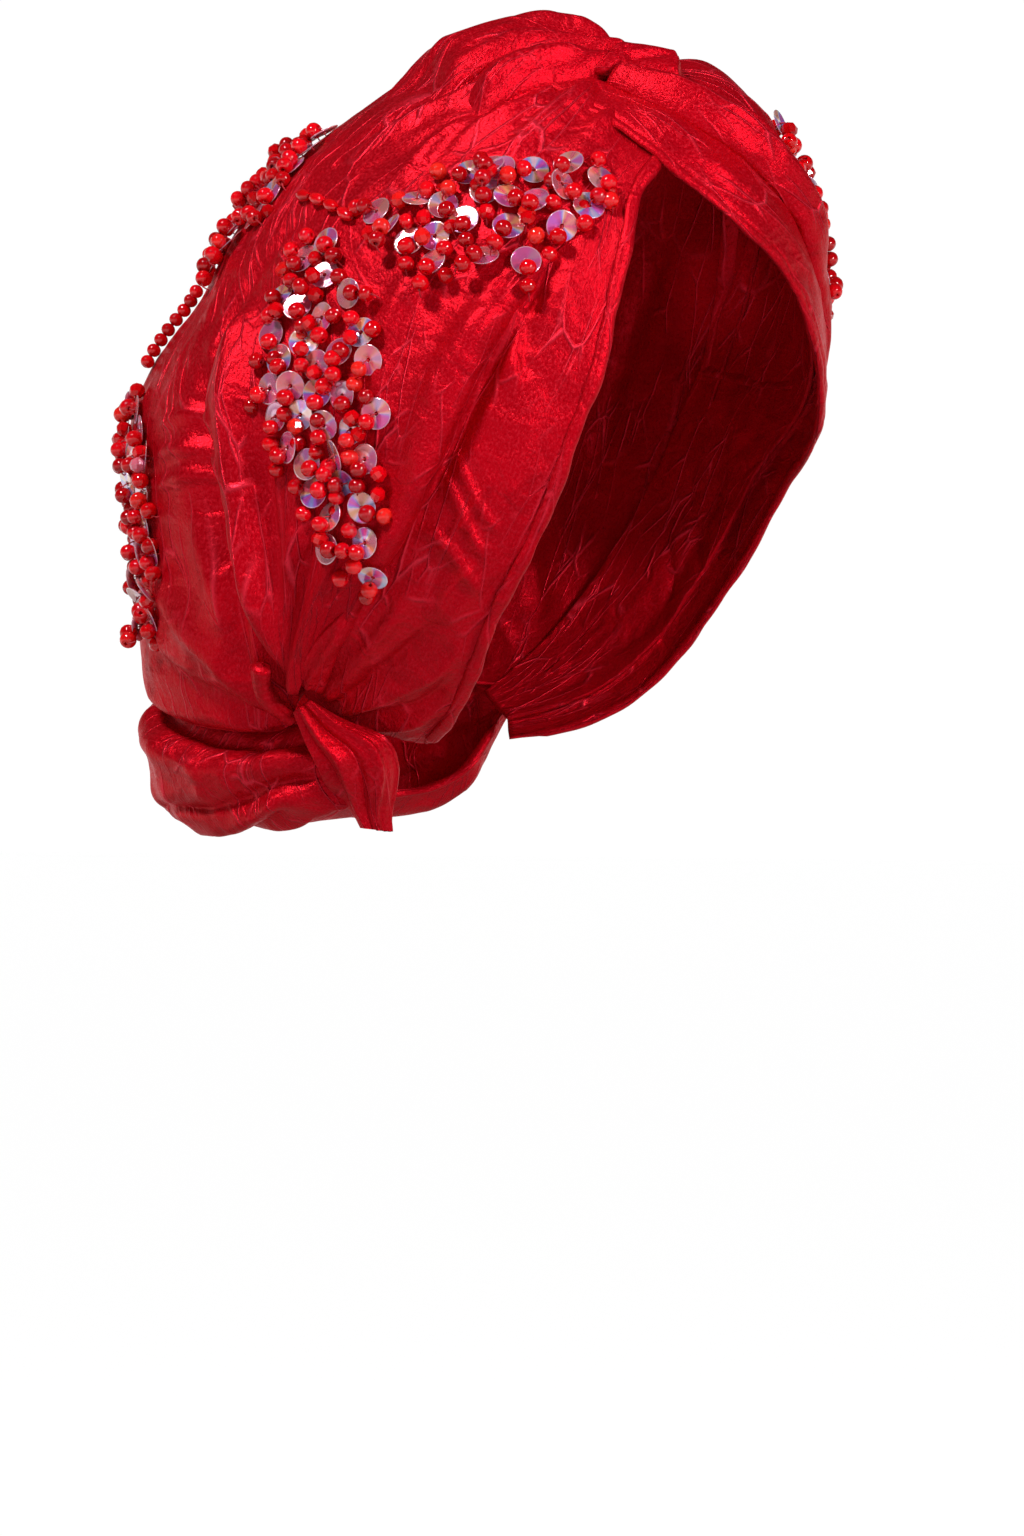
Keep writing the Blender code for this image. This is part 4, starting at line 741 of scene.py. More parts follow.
flap_high = (CLOTH + 1.9 * LAYER_STEP + fold_heights(flap_way, FLAP_FOLDS)
             + crushed(flap_way, (14, 50), 95, 14, (8, 20), (1.1, 1.8), (0.15, 0.4), 30, 0.4))
flap_s = np.linspace(0, 1, 44)
flap_t = np.linspace(0, 1, 60)
flap_way = lay(FLAP_LINES, flap_s, flap_t)
flap_base = flap_way * (form_reach(flap_way) + flap_high)[..., None]
flap_out = flap_base - flap_way * tuck_height(flap_base, (
    {"edge": "start", "wide": 3.0, "deep": 3.2, "round": True},
    {"edge": "end", "wide": 3.0, "deep": 3.2, "round": True},
    {"edge": "top", "wide": 7.0, "deep": 3.4, "round": False},
    {"edge": "foot", "wide": 4.0, "deep": 3.0, "round": False}))[..., None]
flap = sewn("satin_side_flap", "side_flap", flap_out, SATIN)

# A row is one upright section of the pouch at a bearing: (distance out, height) in mm of six points, from
# under the cap's lower edge, round the outside and in to the neck.
POUCH_SECTIONS = (
    {"bearing": 115, "profile": ((43, -98), (45, -101), (46, -104), (45, -108), (43, -110), (41, -107))},
    {"bearing": 120, "profile": ((46, -93), (52, -98.5), (55, -104), (52, -111), (47, -114), (41, -108))},
    {"bearing": 127, "profile": ((50, -90), (60, -97), (63, -104), (60, -113), (51, -116), (43, -108))},
    {"bearing": 134, "profile": ((55, -90), (66, -97.5), (70, -105), (66, -115), (55, -118), (45, -109))},
    {"bearing": 145, "profile": ((68, -88), (81, -96), (84, -104), (81, -116), (66, -119), (49, -110))},
    {"bearing": 157, "profile": ((82, -83), (94, -91), (97, -100), (95, -115), (78, -119), (53, -110))},
    {"bearing": 171, "profile": ((91, -75), (103, -83.5), (101, -98), (98, -115), (82, -119), (55, -110))},
    {"bearing": 188, "profile": ((86, -74), (100, -82.5), (99, -98), (95, -114), (79, -118), (54, -110))},
    {"bearing": 205, "profile": ((74, -72), (88, -81), (91, -97), (87, -112), (72, -118), (51, -110))},
    {"bearing": 220, "profile": ((60, -73), (74, -81), (78, -97), (74, -111), (60, -116), (46, -108))},
    {"bearing": 235, "profile": ((50, -76), (57, -81), (60, -90), (57, -101), (50, -106), (43, -100))},
    {"bearing": 247, "profile": ((54, -77), (56, -79), (57, -82), (56, -86), (53, -88), (50, -85))},
)
POUCH_FOLDS = (
    {"name": "under the cap", "from": (120, 0.15), "to": (188, 0.10), "high": -2.2, "half": 0.040, "sag": 0.04},
    {"name": "lobe", "from": (120, 0.29), "to": (178, 0.22), "high": 3.2, "half": 0.090, "sag": 0.10},
    {"name": "under the lobe", "from": (120, 0.43), "to": (170, 0.62), "high": -3.0, "half": 0.045, "sag": 0.03},
    {"name": "corner ridge", "from": (130, 0.55), "to": (166, 0.76), "high": 2.6, "half": 0.040, "sag": 0.05},
    {"name": "corner crease", "from": (130, 0.63), "to": (164, 0.82), "high": -2.2, "half": 0.030, "sag": 0.06},
    {"name": "underside", "from": (126, 0.74), "to": (190, 0.90), "high": 2.0, "half": 0.040, "sag": 0.06},
    {"name": "left swag", "from": (176, 0.24), "to": (236, 0.18), "high": 2.6, "half": 0.05, "sag": 0.10},
    {"name": "left crease", "from": (182, 0.42), "to": (236, 0.40), "high": -2.4, "half": 0.04, "sag": 0.06},
)
pouch_turn = np.linspace(115, 247, 190)
pouch_down = np.linspace(0, 1, 84)
bearings = np.array([row["bearing"] for row in POUCH_SECTIONS], float)
profiles = np.array([row["profile"] for row in POUCH_SECTIONS], float)
profile_rows = curve_value(pouch_turn, bearings, profiles.reshape(len(bearings), -1)).reshape(len(pouch_turn), -1, 2)
pouch_base = np.empty((len(pouch_turn), len(pouch_down), 3))
for i, bearing in enumerate(pouch_turn):
    p = curve_value(pouch_down, np.linspace(0, 1, profile_rows.shape[1]), profile_rows[i])
    belly = np.sin(np.pi * pouch_down)
    ruffle = 1.6 * math.sin(math.radians(bearing) * 9.0)
    out = p[:, 0] + ruffle * belly
    b = math.radians(bearing)
    pouch_base[i] = np.stack([-math.sin(b) * out, -math.cos(b) * out, p[:, 1] + 0.5 * ruffle * belly], axis=1)
pouch_hint = np.mean(pouch_base, axis=1, keepdims=True) * np.array([0.97, 0.97, 1.0])
rise = np.zeros(pouch_base.shape[:2])
for row in POUCH_FOLDS:
    share = (pouch_turn - row["from"][0]) / (row["to"][0] - row["from"][0])
    level = row["from"][1] + (row["to"][1] - row["from"][1]) * share + row["sag"] * np.sin(np.pi * np.clip(share, 0, 1))
    fade = smooth_step((share + 0.05) / 0.15) * smooth_step((1.05 - share) / 0.3)
    rise += row["high"] * fade[:, None] * np.exp(-(((pouch_down[None, :] - level[:, None]) / row["half"]) ** 2))
for k, bearing in enumerate(range(131, 232, 6)):  # gathers that run down from the seam, one every 9 mm or so
    lean = 7.0 * math.sin(1.7 * k)
    middle = bearing + lean * pouch_down
    depth = 0.45 + 0.35 * math.sin(2.3 * k)
    line = np.exp(-(((pouch_turn[:, None] - middle[None, :]) / 1.5) ** 2))
    rise += depth * line * np.sin(np.pi * np.clip(pouch_down * 1.15, 0, 1))[None, :]
pouch_way = pouch_base / np.linalg.norm(pouch_base, axis=2)[..., None]
rise += crushed(pouch_way, (150, 90), 101, 46, (14, 40), (2.0, 4.0), (0.25, 0.8), 50, 0.4)
rise += crushed(pouch_way, (150, 90), 102, 150, (8, 24), (1.1, 1.8), (0.15, 0.4), 40, 0.5)
rim_fade = smooth_step(pouch_down / 0.06) * smooth_step((1 - pouch_down) / 0.05)
pouch_out = pouch_base + facing(pouch_base, pouch_hint) * (rise * rim_fade[None, :])[..., None]
pouch = sewn("satin_nape_pouch", "nape_pouch", pouch_out, SATIN, hint=pouch_hint)
pouch_hem = hem("rolled_hem_nape", pouch_out[6:-4, -1], 1.6, 1.3, SATIN)

TAIL_SECTIONS = (
    {"bearing": 115, "out": 66.0, "high": -84.8, "wide": 2.6, "deep": 2.4, "turn": 35},
    {"bearing": 113, "out": 60.0, "high": -92.0, "wide": 5.4, "deep": 3.2, "turn": 32},
    {"bearing": 109, "out": 53.0, "high": -98.5, "wide": 9.0, "deep": 3.8, "turn": 27},
    {"bearing": 110, "out": 48.0, "high": -104.5, "wide": 9.0, "deep": 4.4, "turn": 18},
    {"bearing": 113, "out": 44.5, "high": -110.0, "wide": 6.9, "deep": 4.4, "turn": 6},
    {"bearing": 116, "out": 42.0, "high": -115.0, "wide": 5.2, "deep": 4.0, "turn": -2},
    {"bearing": 116, "out": 40.0, "high": -120.0, "wide": 4.2, "deep": 3.2, "turn": -6},
)
TAIL_PLEATS = (
    {"at": 0.8, "high": 2.2, "half": 0.16},
    {"at": 1.35, "high": -2, "half": 0.13},
    {"at": 1.85, "high": 2.5, "half": 0.18},
    {"at": 2.45, "high": -2.1, "half": 0.15},
    {"at": 3.0, "high": 1.8, "half": 0.2},
    {"at": 4.2, "high": 2, "half": 0.22},
    {"at": 5.2, "high": -1.8, "half": 0.2},
    {"at": 5.9, "high": 1.8, "half": 0.2},
)
tail_turn = np.linspace(0, 2 * math.pi, 121)
tail_down = np.linspace(0, 1, 80)
columns = ("bearing", "out", "high", "wide", "deep", "turn")
tail_table = np.array([[row[c] for c in columns] for row in TAIL_SECTIONS], float)
tail_rows = curve_value(tail_down, np.linspace(0, 1, len(tail_table)), tail_table)
tail_out = np.empty((len(tail_turn), len(tail_down), 3))
tail_core = np.empty((1, len(tail_down), 3))
for j, (bearing, out, high, wide, deep, turn) in enumerate(tail_rows):
    b = math.radians(bearing)
    middle = np.array([-math.sin(b) * out, -math.cos(b) * out, high])
    side = ACROSS * math.cos(math.radians(turn)) + UP * math.sin(math.radians(turn))
    grow = np.zeros(len(tail_turn))
    for row in TAIL_PLEATS:
        gap = (tail_turn - row["at"] - 0.5 * tail_down[j] + math.pi) % (2 * math.pi) - math.pi
        grow += row["high"] * np.exp(-((gap / row["half"]) ** 2))
    grow *= 0.35 + 0.65 * math.sin(math.pi * min(tail_down[j] * 1.1, 1.0))
    grow += 0.25 * np.sin(tail_turn * 3 + 9 * tail_down[j])
    tail_out[:, j] = (middle + ((wide + grow) * np.cos(tail_turn))[:, None] * side
                      + ((deep + grow) * np.sin(tail_turn))[:, None] * TOWARDS)
    tail_core[0, j] = middle
tail = sewn("satin_nape_tail", "nape_tail", tail_out, SATIN, thick=0.9, hint=tail_core)

LOOP_LINE = ((117, -43), (120, -46), (122, -49), (123, -52), (123, -55))
loop_way = along(LOOP_LINE, np.linspace(0, 1, 60))
loop_mid = loop_way * (form_reach(loop_way) + CLOTH + LAYER_STEP + 3.4)[:, None]
loop = hem("satin_nape_loop", loop_mid, 2.9, 2.5, SATIN)
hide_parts("nape_loop")

# Embroidery. Clear flat sequins, 8 mm across with a pearl film, are sewn on one by one with red thread. The
# stitch that holds each one also takes up two or three round ruby glass beads of 4.7 mm, which stand over
# and beside its hole. They fill leaves that spread from behind the right temple, and one on the left.
SEQUIN_RADIUS = 4.35
HOLE_RADIUS = 0.6
BEAD_RADIUS = 2.5
LEAVES = (
    {"name": "front_leaf", "node": "leaf_front_right", "seed": 3, "gap": 7.6, "fall": 100, "rows": (
        {"mid": (91, 35), "wide": 8}, {"mid": (83, 35), "wide": 16}, {"mid": (75, 34), "wide": 28},
        {"mid": (66, 32), "wide": 36}, {"mid": (58, 32), "wide": 36}, {"mid": (50, 34), "wide": 27},
        {"mid": (42, 36), "wide": 17}, {"mid": (36, 36), "wide": 8})},
    {"name": "side_leaf", "node": "leaf_side_right", "seed": 5, "gap": 7.6, "fall": 0, "rows": (
        {"mid": (109, 34), "wide": 9}, {"mid": (105, 28), "wide": 19}, {"mid": (101, 20), "wide": 32},
        {"mid": (98, 9), "wide": 38}, {"mid": (95, -2), "wide": 37}, {"mid": (93, -12), "wide": 31},
        {"mid": (91, -22), "wide": 23}, {"mid": (89, -29), "wide": 15}, {"mid": (87, -35), "wide": 8})},
    {"name": "rear_upper_leaf", "node": "leaf_rear_upper", "seed": 7, "gap": 7.4, "fall": 20, "rows": (
        {"mid": (150, 61), "wide": 10}, {"mid": (149, 53), "wide": 26}, {"mid": (149, 45), "wide": 34},
        {"mid": (151, 36), "wide": 28}, {"mid": (154, 28), "wide": 11})},
    {"name": "rear_lower_leaf", "node": "leaf_rear_lower", "seed": 9, "gap": 7.4, "fall": 0, "rows": (
        {"mid": (157, 4), "wide": 10}, {"mid": (153, -4), "wide": 26}, {"mid": (150, -12), "wide": 33},
        {"mid": (149, -20), "wide": 30}, {"mid": (149, -27), "wide": 25}, {"mid": (149, -33), "wide": 15})},
    {"name": "left_leaf", "node": "leaf_front_left", "seed": 13, "gap": 7.4, "fall": 0, "rows": (
        {"mid": (-20, 46), "wide": 9}, {"mid": (-21, 40), "wide": 21}, {"mid": (-24, 32), "wide": 28},
        {"mid": (-28, 25), "wide": 27}, {"mid": (-34, 17), "wide": 17}, {"mid": (-38, 12), "wide": 8})},
)


def pearl_film(name):
    """Clear PET sequin with a pearl coating: near white, with lilac, pink, blue and pale gold painted into its colour
    as a painted iridescent reflection that changes round each disc, over a real thin film."""
    made = bpy.data.materials.new(name)
    made.use_nodes = True
    tree = made.node_tree
    shader = tree.nodes["Principled BSDF"]
    film = put(tree, "Attribute", {}, attribute_name="film")
    parts = put(tree, "SeparateColor", {"Color": film.outputs["Color"]})
    ramp = put(tree, "ValToRGB", {"Fac": parts.outputs["Red"]})
    stops = ((0.0, "#e058b4"), (0.24, "#b46cf0"), (0.42, "#88c4f6"), (0.56, "#f8d8f0"), (0.76, "#f2c07c"), (1.0, "#e8587c"))
    while len(ramp.color_ramp.elements) < len(stops):
        ramp.color_ramp.elements.new(0.5)
    for element, (where, code) in zip(ramp.color_ramp.elements, stops):
        element.position = where
        element.color = linear(code)
    clear = put(tree, "MapRange", {"Value": parts.outputs["Blue"], "From Min": 0.3, "From Max": 0.8, "To Min": 0.72,
                                   "To Max": 0.10})
    body = put(tree, "MixRGB", {"Fac": clear.outputs[0], "Color1": ramp.outputs["Color"], "Color2": linear("#e2607c")})
    edge = put(tree, "MixRGB", {"Fac": parts.outputs["Green"], "Color1": body.outputs[0], "Color2": linear("#ffdce4")})
    tree.links.new(edge.outputs[0], shader.inputs["Base Color"])
    shader.inputs["Roughness"].default_value = 0.16
    shader.inputs["Metallic"].default_value = 0.15
    shader.inputs["Transmission Weight"].default_value = 0.40
    shader.inputs["IOR"].default_value = 1.57
    shader.inputs["Thin Film Thickness"].default_value = 430.0
    shader.inputs["Thin Film IOR"].default_value = 1.9
    return made


def ruby_glass(name):
    """Pressed ruby glass with a faint rainbow coating: deep and clear in the middle, with one sharp light."""
    made = bpy.data.materials.new(name)
    made.use_nodes = True
    tree = made.node_tree
    shader = tree.nodes["Principled BSDF"]
    tone = put(tree, "Attribute", {}, attribute_name="film")
    parts = put(tree, "SeparateColor", {"Color": tone.outputs["Color"]})
    ramp = put(tree, "ValToRGB", {"Fac": parts.outputs["Red"]})
    stops = ((0.0, "#b40008"), (0.45, "#de000c"), (0.86, "#f00416"), (0.97, "#f0281c"), (1.0, "#e87890"))
    while len(ramp.color_ramp.elements) < len(stops):
        ramp.color_ramp.elements.new(0.5)
    for element, (where, code) in zip(ramp.color_ramp.elements, stops):
        element.position = where
        element.color = linear(code)
    tree.links.new(ramp.outputs["Color"], shader.inputs["Base Color"])
    shader.inputs["Roughness"].default_value = 0.06
    shader.inputs["IOR"].default_value = 1.52
    shader.inputs["Transmission Weight"].default_value = 0.15
    shader.inputs["Specular IOR Level"].default_value = 0.5
    shader.inputs["Subsurface Weight"].default_value = 0.25
    shader.inputs["Subsurface Radius"].default_value = (1.0, 0.1, 0.1)
    shader.inputs["Subsurface Scale"].default_value = 2.0 * MM
    return made


def red_thread(name):
    """Spun polyester sewing thread, two plies, a little duller than the satin."""
    made = bpy.data.materials.new(name)
    made.use_nodes = True
    tree = made.node_tree
    shader = tree.nodes["Principled BSDF"]
    ply = put(tree, "TexNoise", {"Scale": 2400.0, "Detail": 1.0})
    dye = put(tree, "MixRGB", {"Fac": ply.outputs["Fac"], "Color1": linear("#8c0014"), "Color2": linear("#d0102a")})
    tree.links.new(dye.outputs[0], shader.inputs["Base Color"])
    shader.inputs["Roughness"].default_value = 0.6
    return made


PEARL = pearl_film("pearl_film_sequin")
RUBY = ruby_glass("ruby_pressed_glass")
THREAD = red_thread("red_sewing_thread")
graph = bpy.context.evaluated_depsgraph_get()
cloth_trees = [BVHTree.FromObject(o, graph) for o in (cap, right_panel, left_panel, band, *crown_pieces)]


def seat(d):
    """The outermost cloth along a direction, and a direction that is square to it, in mm."""
    best = None
    way = Vector(d)
    for tree in cloth_trees:
        hit = tree.ray_cast(way * 0.3, -way, 0.28)
        if hit[0] is not None and (best is None or hit[0].length > best[0].length):
            best = hit
    normal = np.array(best[1])
    normal = normal if normal @ d > 0 else -normal
    square = 0.35 * normal + 0.65 * d
    return np.array(best[0]) * 1000, square / np.linalg.norm(square)


def frame_of(square, turn):
    """Two directions in the cloth at a stitch, the first turned from straight down, and the one out of it."""
    down = -UP + square * square[2]
    down /= np.linalg.norm(down)
    side = np.cross(square, down)
    a = math.radians(turn)
    first = down * math.cos(a) + side * math.sin(a)
    return first, np.cross(square, first), square


class Heap:
    """Points, faces, colours and flat faces of many small things that are joined as one mesh."""

    def __init__(self):
        self.points = []
        self.faces = []
        self.film = []
        self.flat = []
        self.count = 0

    def take(self, points, faces, film, flat=False):
        self.points.append(points)
        self.faces.extend([tuple(i + self.count for i in f) for f in faces])
        self.film.append(film)
        self.flat.extend([flat] * len(faces))
        self.count += len(points)

    def make(self, name, finish, node=None):
        points = np.concatenate(self.points) * MM
        mesh = bpy.data.meshes.new(name)
        mesh.from_pydata(points.tolist(), [], self.faces)
        film = mesh.color_attributes.new(name="film", type="FLOAT_COLOR", domain="POINT")
        film.data.foreach_set("color", np.concatenate(self.film).astype(np.float32).ravel())
        mesh.materials.append(finish)
        mesh.polygons.foreach_set("use_smooth", [not x for x in self.flat])
        made = bpy.data.objects.new(name, mesh)
        bpy.context.scene.collection.objects.link(made)
        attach(made, "root")
        if node:
            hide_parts(node)
        return made


def ring_faces(rings, sides, close):
    faces = []
    for j in range(rings if close else rings - 1):
        k = (j + 1) % rings
        for i in range(sides):
            n = (i + 1) % sides
            faces.append((j * sides + i, j * sides + n, k * sides + n, k * sides + i))
    return faces


def sequin(heap, middle, first, second, out, radius, hue):
    sides = 22
    # (radius, height) round the disc's section: the hole, the top, the rim and the underside
    section = ((HOLE_RADIUS, 0.02), (HOLE_RADIUS + 0.25, 0.16), (radius * 0.55, 0.10), (radius * 0.92, 0.20),
               (radius, 0.22), (radius, 0.06), (radius * 0.55, -0.06), (HOLE_RADIUS, -0.10))
    a = np.arange(sides) * 2 * math.pi / sides
    points = []
    film = []
    for r, h in section:
        points.append(middle + r * np.cos(a)[:, None] * first + r * np.sin(a)[:, None] * second + h * out)
        # painted reflection: the pearl film's iridescent colour is painted to change round the disc
        colour = (hue + 0.30 * np.cos(a + 9 * hue) + 0.14 * np.cos(2 * a + 5 * hue)) % 1.0
        colour = 0.5 + 0.5 * np.cos(2 * math.pi * (colour - 0.5))
        rim = 0.75 if r > radius * 0.95 or r < HOLE_RADIUS + 0.1 else 0.0
        film.append(np.stack([colour, np.full(sides, rim), np.full(sides, hue), np.ones(sides)], axis=1))
    heap.take(np.concatenate(points), ring_faces(len(section), sides, True), np.concatenate(film))


def bead(heap, middle, axis, radius, tone, faceted=False, long=1.0):
    """A glass bead with its thread hole, turned about its axis."""
    sides = 8 if faceted else 16
    steps = 5 if faceted else 9
    hole = radius * 0.24
    other = np.cross(axis, UP if abs(axis[2]) < 0.9 else ACROSS)
    other /= np.linalg.norm(other)
    third = np.cross(axis, other)
    start = math.asin(hole / radius)
    angle = np.linspace(start, math.pi - start, steps)
    section = [(radius * math.sin(x), -radius * 0.92 * long * math.cos(x) * (1 if long == 1.0 else 0.62
               + 0.38 * abs(math.cos(x)))) for x in angle]
    section.append((hole * 0.9, section[-1][1] * 0.8))
    section.append((hole * 0.9, section[0][1] * 0.8))
    a = np.arange(sides) * 2 * math.pi / sides
    points = [middle + r * np.cos(a)[:, None] * other + r * np.sin(a)[:, None] * third + h * axis for r, h in section]
    film = np.tile([tone, 0.0, 0.0, 1.0], (sides * len(section), 1))
    heap.take(np.concatenate(points), ring_faces(len(section), sides, True), film, faceted)


def stitch(heap, path, radius=0.22):
    sides = 5
    path = np.asarray(path, float)
    tangent = np.gradient(path, axis=0)
    tangent /= np.linalg.norm(tangent, axis=1)[:, None]
    points = []
    a = np.arange(sides) * 2 * math.pi / sides
    for p, t in zip(path, tangent):
        x = np.cross(t, UP if abs(t[2]) < 0.9 else ACROSS)
        x /= np.linalg.norm(x)
        y = np.cross(t, x)
        points.append(p + radius * (np.cos(a)[:, None] * x + np.sin(a)[:, None] * y))
    film = np.tile([0.5, 0.0, 0.0, 1.0], (sides * len(path), 1))
    heap.take(np.concatenate(points), ring_faces(len(path), sides, False), film)


threads = Heap()
for leaf in LEAVES:
    rng = np.random.default_rng(leaf["seed"])
    table = np.array([[*direction(*row["mid"]), row["wide"]] for row in leaf["rows"]])
    path = curve_value(np.linspace(0, 1, 80), np.linspace(0, 1, len(table)), table)
    mid = path[:, :3] / np.linalg.norm(path[:, :3], axis=1)[:, None]
    line = mid * form_reach(mid)[:, None]
    run = np.concatenate([[0], np.cumsum(np.linalg.norm(np.diff(line, axis=0), axis=1))])
    forward = np.gradient(line, axis=0)
    across = np.cross(mid, forward / np.linalg.norm(forward, axis=1)[:, None])
    spots = []
    for k in range(4000):
        y = rng.uniform(2.5, run[-1] - 2.5)
        half = np.interp(y, run, path[:, 3]) / 2 - 1.8
        x = rng.uniform(-1, 1) * max(half, 0.4)
        if all((x - p) ** 2 + (y - q) ** 2 > leaf["gap"] ** 2 for p, q in spots):
            spots.append((x, y))
    sequins = Heap()
    beads = Heap()
    taken = []

    def along_leaf(x, y):
        at = np.array([np.interp(y, run, line[:, k]) for k in range(3)])
        side = np.array([np.interp(y, run, across[:, k]) for k in range(3)])
        level = np.linalg.norm(at)
        d = at / level * math.cos(x / level) + side * math.sin(x / level)
        return d / np.linalg.norm(d)

    for x, y in spots:
        cloth, square = seat(along_leaf(x, y))
        first, second, out = frame_of(square, leaf["fall"] * rng.choice((-1, 1)) * 0.4 + rng.normal() * 45)
        tilt = min(abs(rng.normal()) * 17, 48)
        way = rng.uniform(0, 360)
        lean = first * math.cos(math.radians(way)) + second * math.sin(math.radians(way))
        face = out * math.cos(math.radians(tilt)) + lean * math.sin(math.radians(tilt))
        one = first - face * (first @ face)
        one /= np.linalg.norm(one)
        two = np.cross(face, one)
        middle = cloth + out * (0.9 + SEQUIN_RADIUS * 0.62 * math.sin(math.radians(tilt)))
        sequin(sequins, middle, one, two, face, SEQUIN_RADIUS * rng.uniform(0.96, 1.04), rng.random())
        # the stitch comes up through the hole, takes up its beads and goes down past the disc's rim
        first_bead = middle + one * (BEAD_RADIUS + 0.5) + face * (BEAD_RADIUS * 0.86)
        second_bead = first_bead + one * (BEAD_RADIUS * 1.86) - out * (1.0 + rng.uniform(0, 0.8)) + second * rng.normal() * 0.6
        bead(beads, first_bead, one, BEAD_RADIUS * rng.uniform(0.94, 1.05), rng.random() ** 1.3, rng.random() < 0.18)
        bead(beads, second_bead, one, BEAD_RADIUS * rng.uniform(0.92, 1.04), rng.random() ** 1.3, rng.random() < 0.18)
        taken.extend([first_bead, second_bead])
        stitch(threads, [middle - face * 1.0, middle + face * 0.5, middle + one * 0.4 + face * 1.6,
                         first_bead - one * (BEAD_RADIUS * 0.6)])
        stitch(threads, [second_bead + one * (BEAD_RADIUS * 0.6), second_bead + one * (BEAD_RADIUS + 0.3) - out * 1.2,
                         second_bead + one * (BEAD_RADIUS + 0.4) - out * (BEAD_RADIUS + 0.8)])
    for k in range(400):
        y = rng.uniform(1.0, run[-1] - 1.0)
        half = np.interp(y, run, path[:, 3]) / 2 + 0.4
        x = rng.uniform(-1, 1) * max(half, 0.5)
        cloth, square = seat(along_leaf(x, y))
        at = cloth + square * (BEAD_RADIUS * 0.96)
        if all(np.sum((at - b) ** 2) > (BEAD_RADIUS * 1.92) ** 2 for b in taken) and (
                min((x - p) ** 2 + (y - q) ** 2 for p, q in spots) > 4.6**2 and rng.random() < 0.6):
            bead(beads, at, frame_of(square, rng.uniform(0, 360))[0], BEAD_RADIUS * rng.uniform(0.92, 1.04),
                 rng.random() ** 1.3, rng.random() < 0.2)
            taken.append(at)
    sequins.make(leaf["name"] + "_sequins", PEARL, leaf["node"])
    beads.make(leaf["name"] + "_beads", RUBY)
    print("LEAF", leaf["name"], len(spots), "sequins", len(taken), "beads")

# Strings. Four long glass tubes on one thread join the leaves behind the temple, and a single row of
# round beads joins the two rear leaves. They are strung, and caught down to the satin at their ends.
LINK_LINE = ((120, 43), (112, 42), (103, 39.5), (95, 36))
LINK_TUBES = 4
link_way = along(LINK_LINE, (np.arange(LINK_TUBES * 2 + 1)) / (LINK_TUBES * 2))
link_at = np.array([seat(d)[0] + seat(d)[1] * 1.7 for d in link_way])
tubes = Heap()
for k in range(LINK_TUBES):
    a, b = link_at[2 * k], link_at[2 * k + 2]
    axis = (b - a) / np.linalg.norm(b - a)
    bead(tubes, (a + b) / 2, axis, 1.8, (0.25, 0.6, 0.4, 0.7)[k], long=np.linalg.norm(b - a) / (2 * 1.8 * 0.92) * 0.97)
stitch(threads, link_at, 0.25)
tubes.make("link_glass_tubes", RUBY, "bead_link")
ROW_LINE = ((158, 24), (159, 19), (158, 13), (157, 8))
ROW_BEADS = 8
row_way = along(ROW_LINE, (np.arange(ROW_BEADS) + 0.5) / ROW_BEADS)
row_at = np.array([seat(d)[0] + seat(d)[1] * 2.4 for d in row_way])
row_rng = np.random.default_rng(17)
row_beads = Heap()
for k in range(ROW_BEADS):
    axis = np.gradient(row_at, axis=0)[k]
    bead(row_beads, row_at[k], axis / np.linalg.norm(axis), 2.1, row_rng.random() ** 1.3)
stitch(threads, row_at, 0.25)
row_beads.make("back_row_beads", RUBY, "bead_row_back")
threads.make("embroidery_thread", THREAD)

# Setting: a pale floor, a white room, one large soft light from the upper left of the camera, and the camera.
floor_mesh = bpy.data.meshes.new("floor")
floor_mesh.from_pydata([(-40, -40, -0.9), (40, -40, -0.9), (40, 40, -0.9), (-40, 40, -0.9)], [], [(0, 1, 2, 3)])
floor = bpy.data.objects.new("floor", floor_mesh)
bpy.context.scene.collection.objects.link(floor)
paper = bpy.data.materials.new("white_paper")
paper.use_nodes = True
tree = paper.node_tree
sheet_of_paper = tree.nodes["Principled BSDF"]
sheet_of_paper.inputs["Base Color"].default_value = linear("#f2f2f2")
sheet_of_paper.inputs["Roughness"].default_value = 0.9
sheet_of_paper.inputs["Emission Color"].default_value = (1, 1, 1, 1)
far = put(tree, "VectorMath", {0: put(tree, "TexCoord", {}).outputs["Object"]}, operation="LENGTH").outputs["Value"]
glow = put(tree, "MapRange", {"Value": far, "From Min": 1.2, "From Max": 3.4, "To Min": 0.0, "To Max": 0.93},
           interpolation_type="SMOOTHSTEP").outputs[0]
tree.links.new(glow, sheet_of_paper.inputs["Emission Strength"])
floor_mesh.materials.append(paper)
floor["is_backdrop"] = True
scene = bpy.context.scene
scene.view_settings.view_transform = "Standard"
world = bpy.data.worlds.new("white_room")
world.use_nodes = True
tree = world.node_tree
way = put(tree, "TexCoord", {}).outputs["Generated"]
level = put(tree, "Math", {0: put(tree, "SeparateXYZ", {0: way}).outputs["Z"]}, operation="ABSOLUTE").outputs[0]
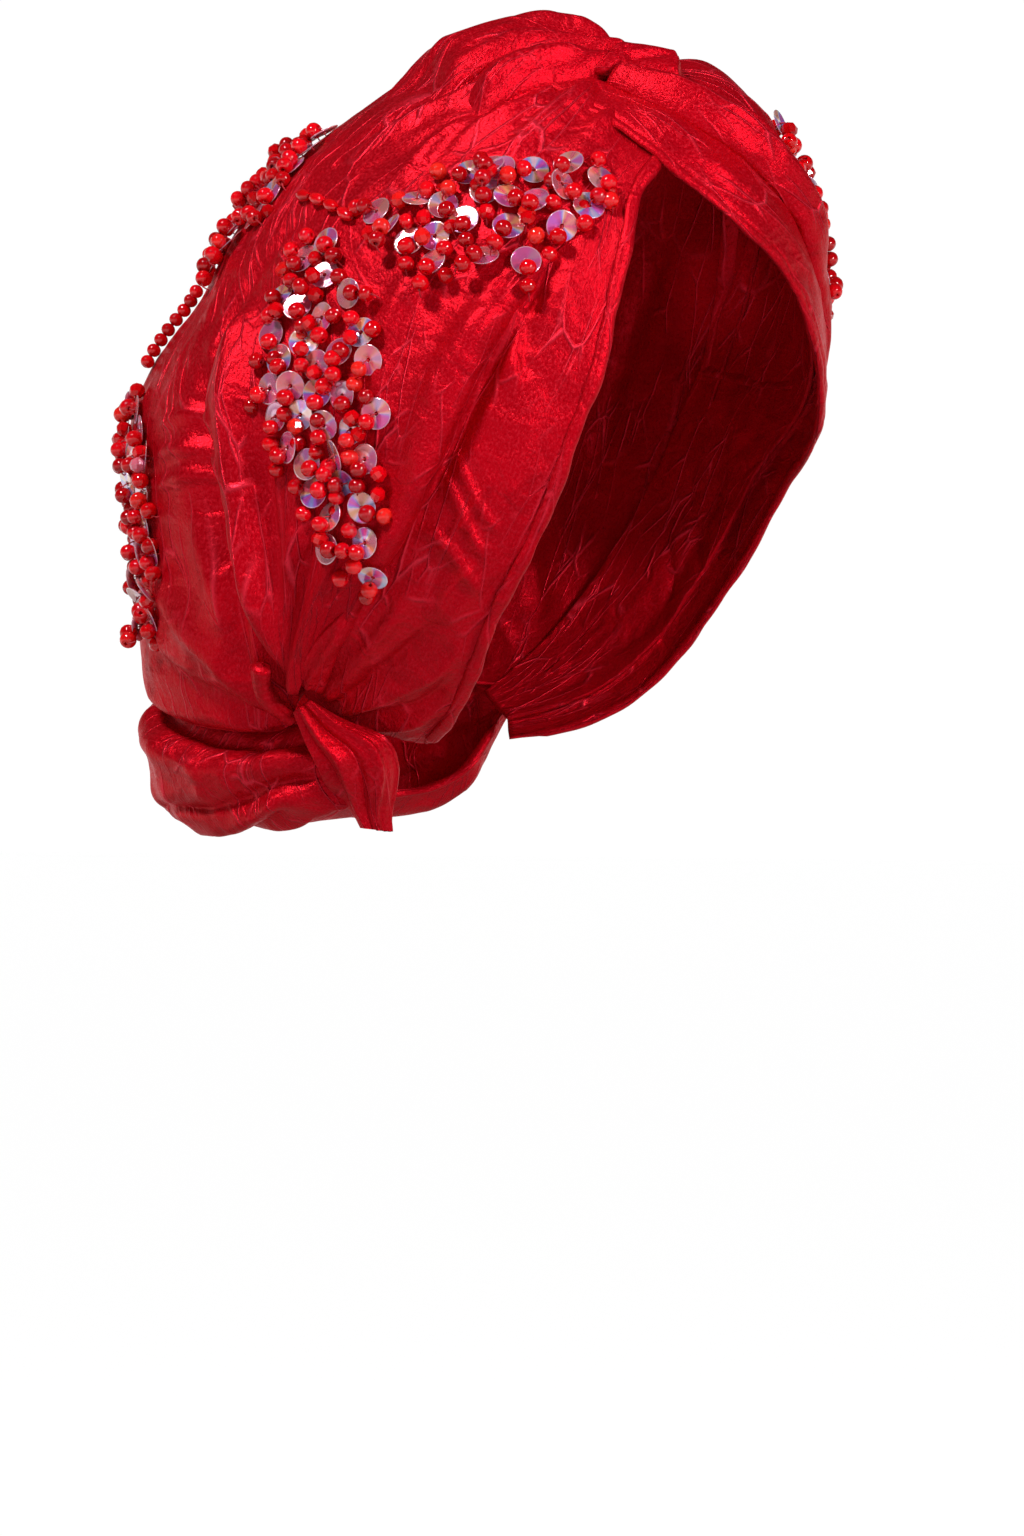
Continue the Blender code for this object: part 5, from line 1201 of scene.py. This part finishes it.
low = put(tree, "MapRange", {"Value": level, "From Min": 0.17, "From Max": 0.32, "To Min": 1.0, "To Max": 0.0},
          interpolation_type="SMOOTHSTEP").outputs[0]
behind = put(tree, "VectorMath", {0: way, 1: (0.883, 0.469, 0)}, operation="DOT_PRODUCT").outputs["Value"]
wall = put(tree, "MapRange", {"Value": behind, "From Min": 0.5, "From Max": 0.9, "To Min": 0.12, "To Max": 0.98},
           interpolation_type="SMOOTHSTEP").outputs[0]
lit = put(tree, "Math", {0: low, 1: wall}, operation="MULTIPLY").outputs[0]
room = put(tree, "Math", {0: lit, 1: 0.035}, operation="ADD").outputs[0]
tree.links.new(room, tree.nodes["Background"].inputs["Strength"])
tree.nodes["Background"].inputs["Color"].default_value = (1, 1, 1, 1)
scene.world = world
right = Vector(ACROSS)
back = Vector(TOWARDS)
LIGHTS = (
    {"name": "key", "at": (-0.70, 1.15, 0.70), "size": 0.24, "power": 19.0},
    {"name": "side", "at": (0.80, 0.40, 0.95), "size": 0.22, "power": 10.5},
)
for row in LIGHTS:
    data = bpy.data.lights.new(row["name"], "AREA")
    data.size = row["size"]
    data.energy = row["power"]
    made = bpy.data.objects.new(row["name"], data)
    x, y, z = row["at"]
    made.location = right * x + Vector(UP) * y + back * z
    made.rotation_mode = "QUATERNION"
    made.rotation_quaternion = (-made.location).to_track_quat("-Z", "Y")
    scene.collection.objects.link(made)
PIXEL = 0.29e-3  # metres for a pixel of the photograph's 1024 by 1536, in the plane through the head's middle
DISTANCE = 1.5
eye = bpy.data.cameras.new("camera")
eye.sensor_fit = "HORIZONTAL"
eye.sensor_width = 36.0
eye.lens = 36.0 * DISTANCE / (1024 * PIXEL)
eye.clip_start = 0.05
camera = bpy.data.objects.new("camera", eye)
camera.location = right * (22 * PIXEL) + Vector(UP) * ((415 - 768) * PIXEL) + back * DISTANCE
camera.rotation_mode = "QUATERNION"
camera.rotation_quaternion = back.to_track_quat("Z", "Y")
scene.collection.objects.link(camera)
scene.camera = camera

low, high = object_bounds()
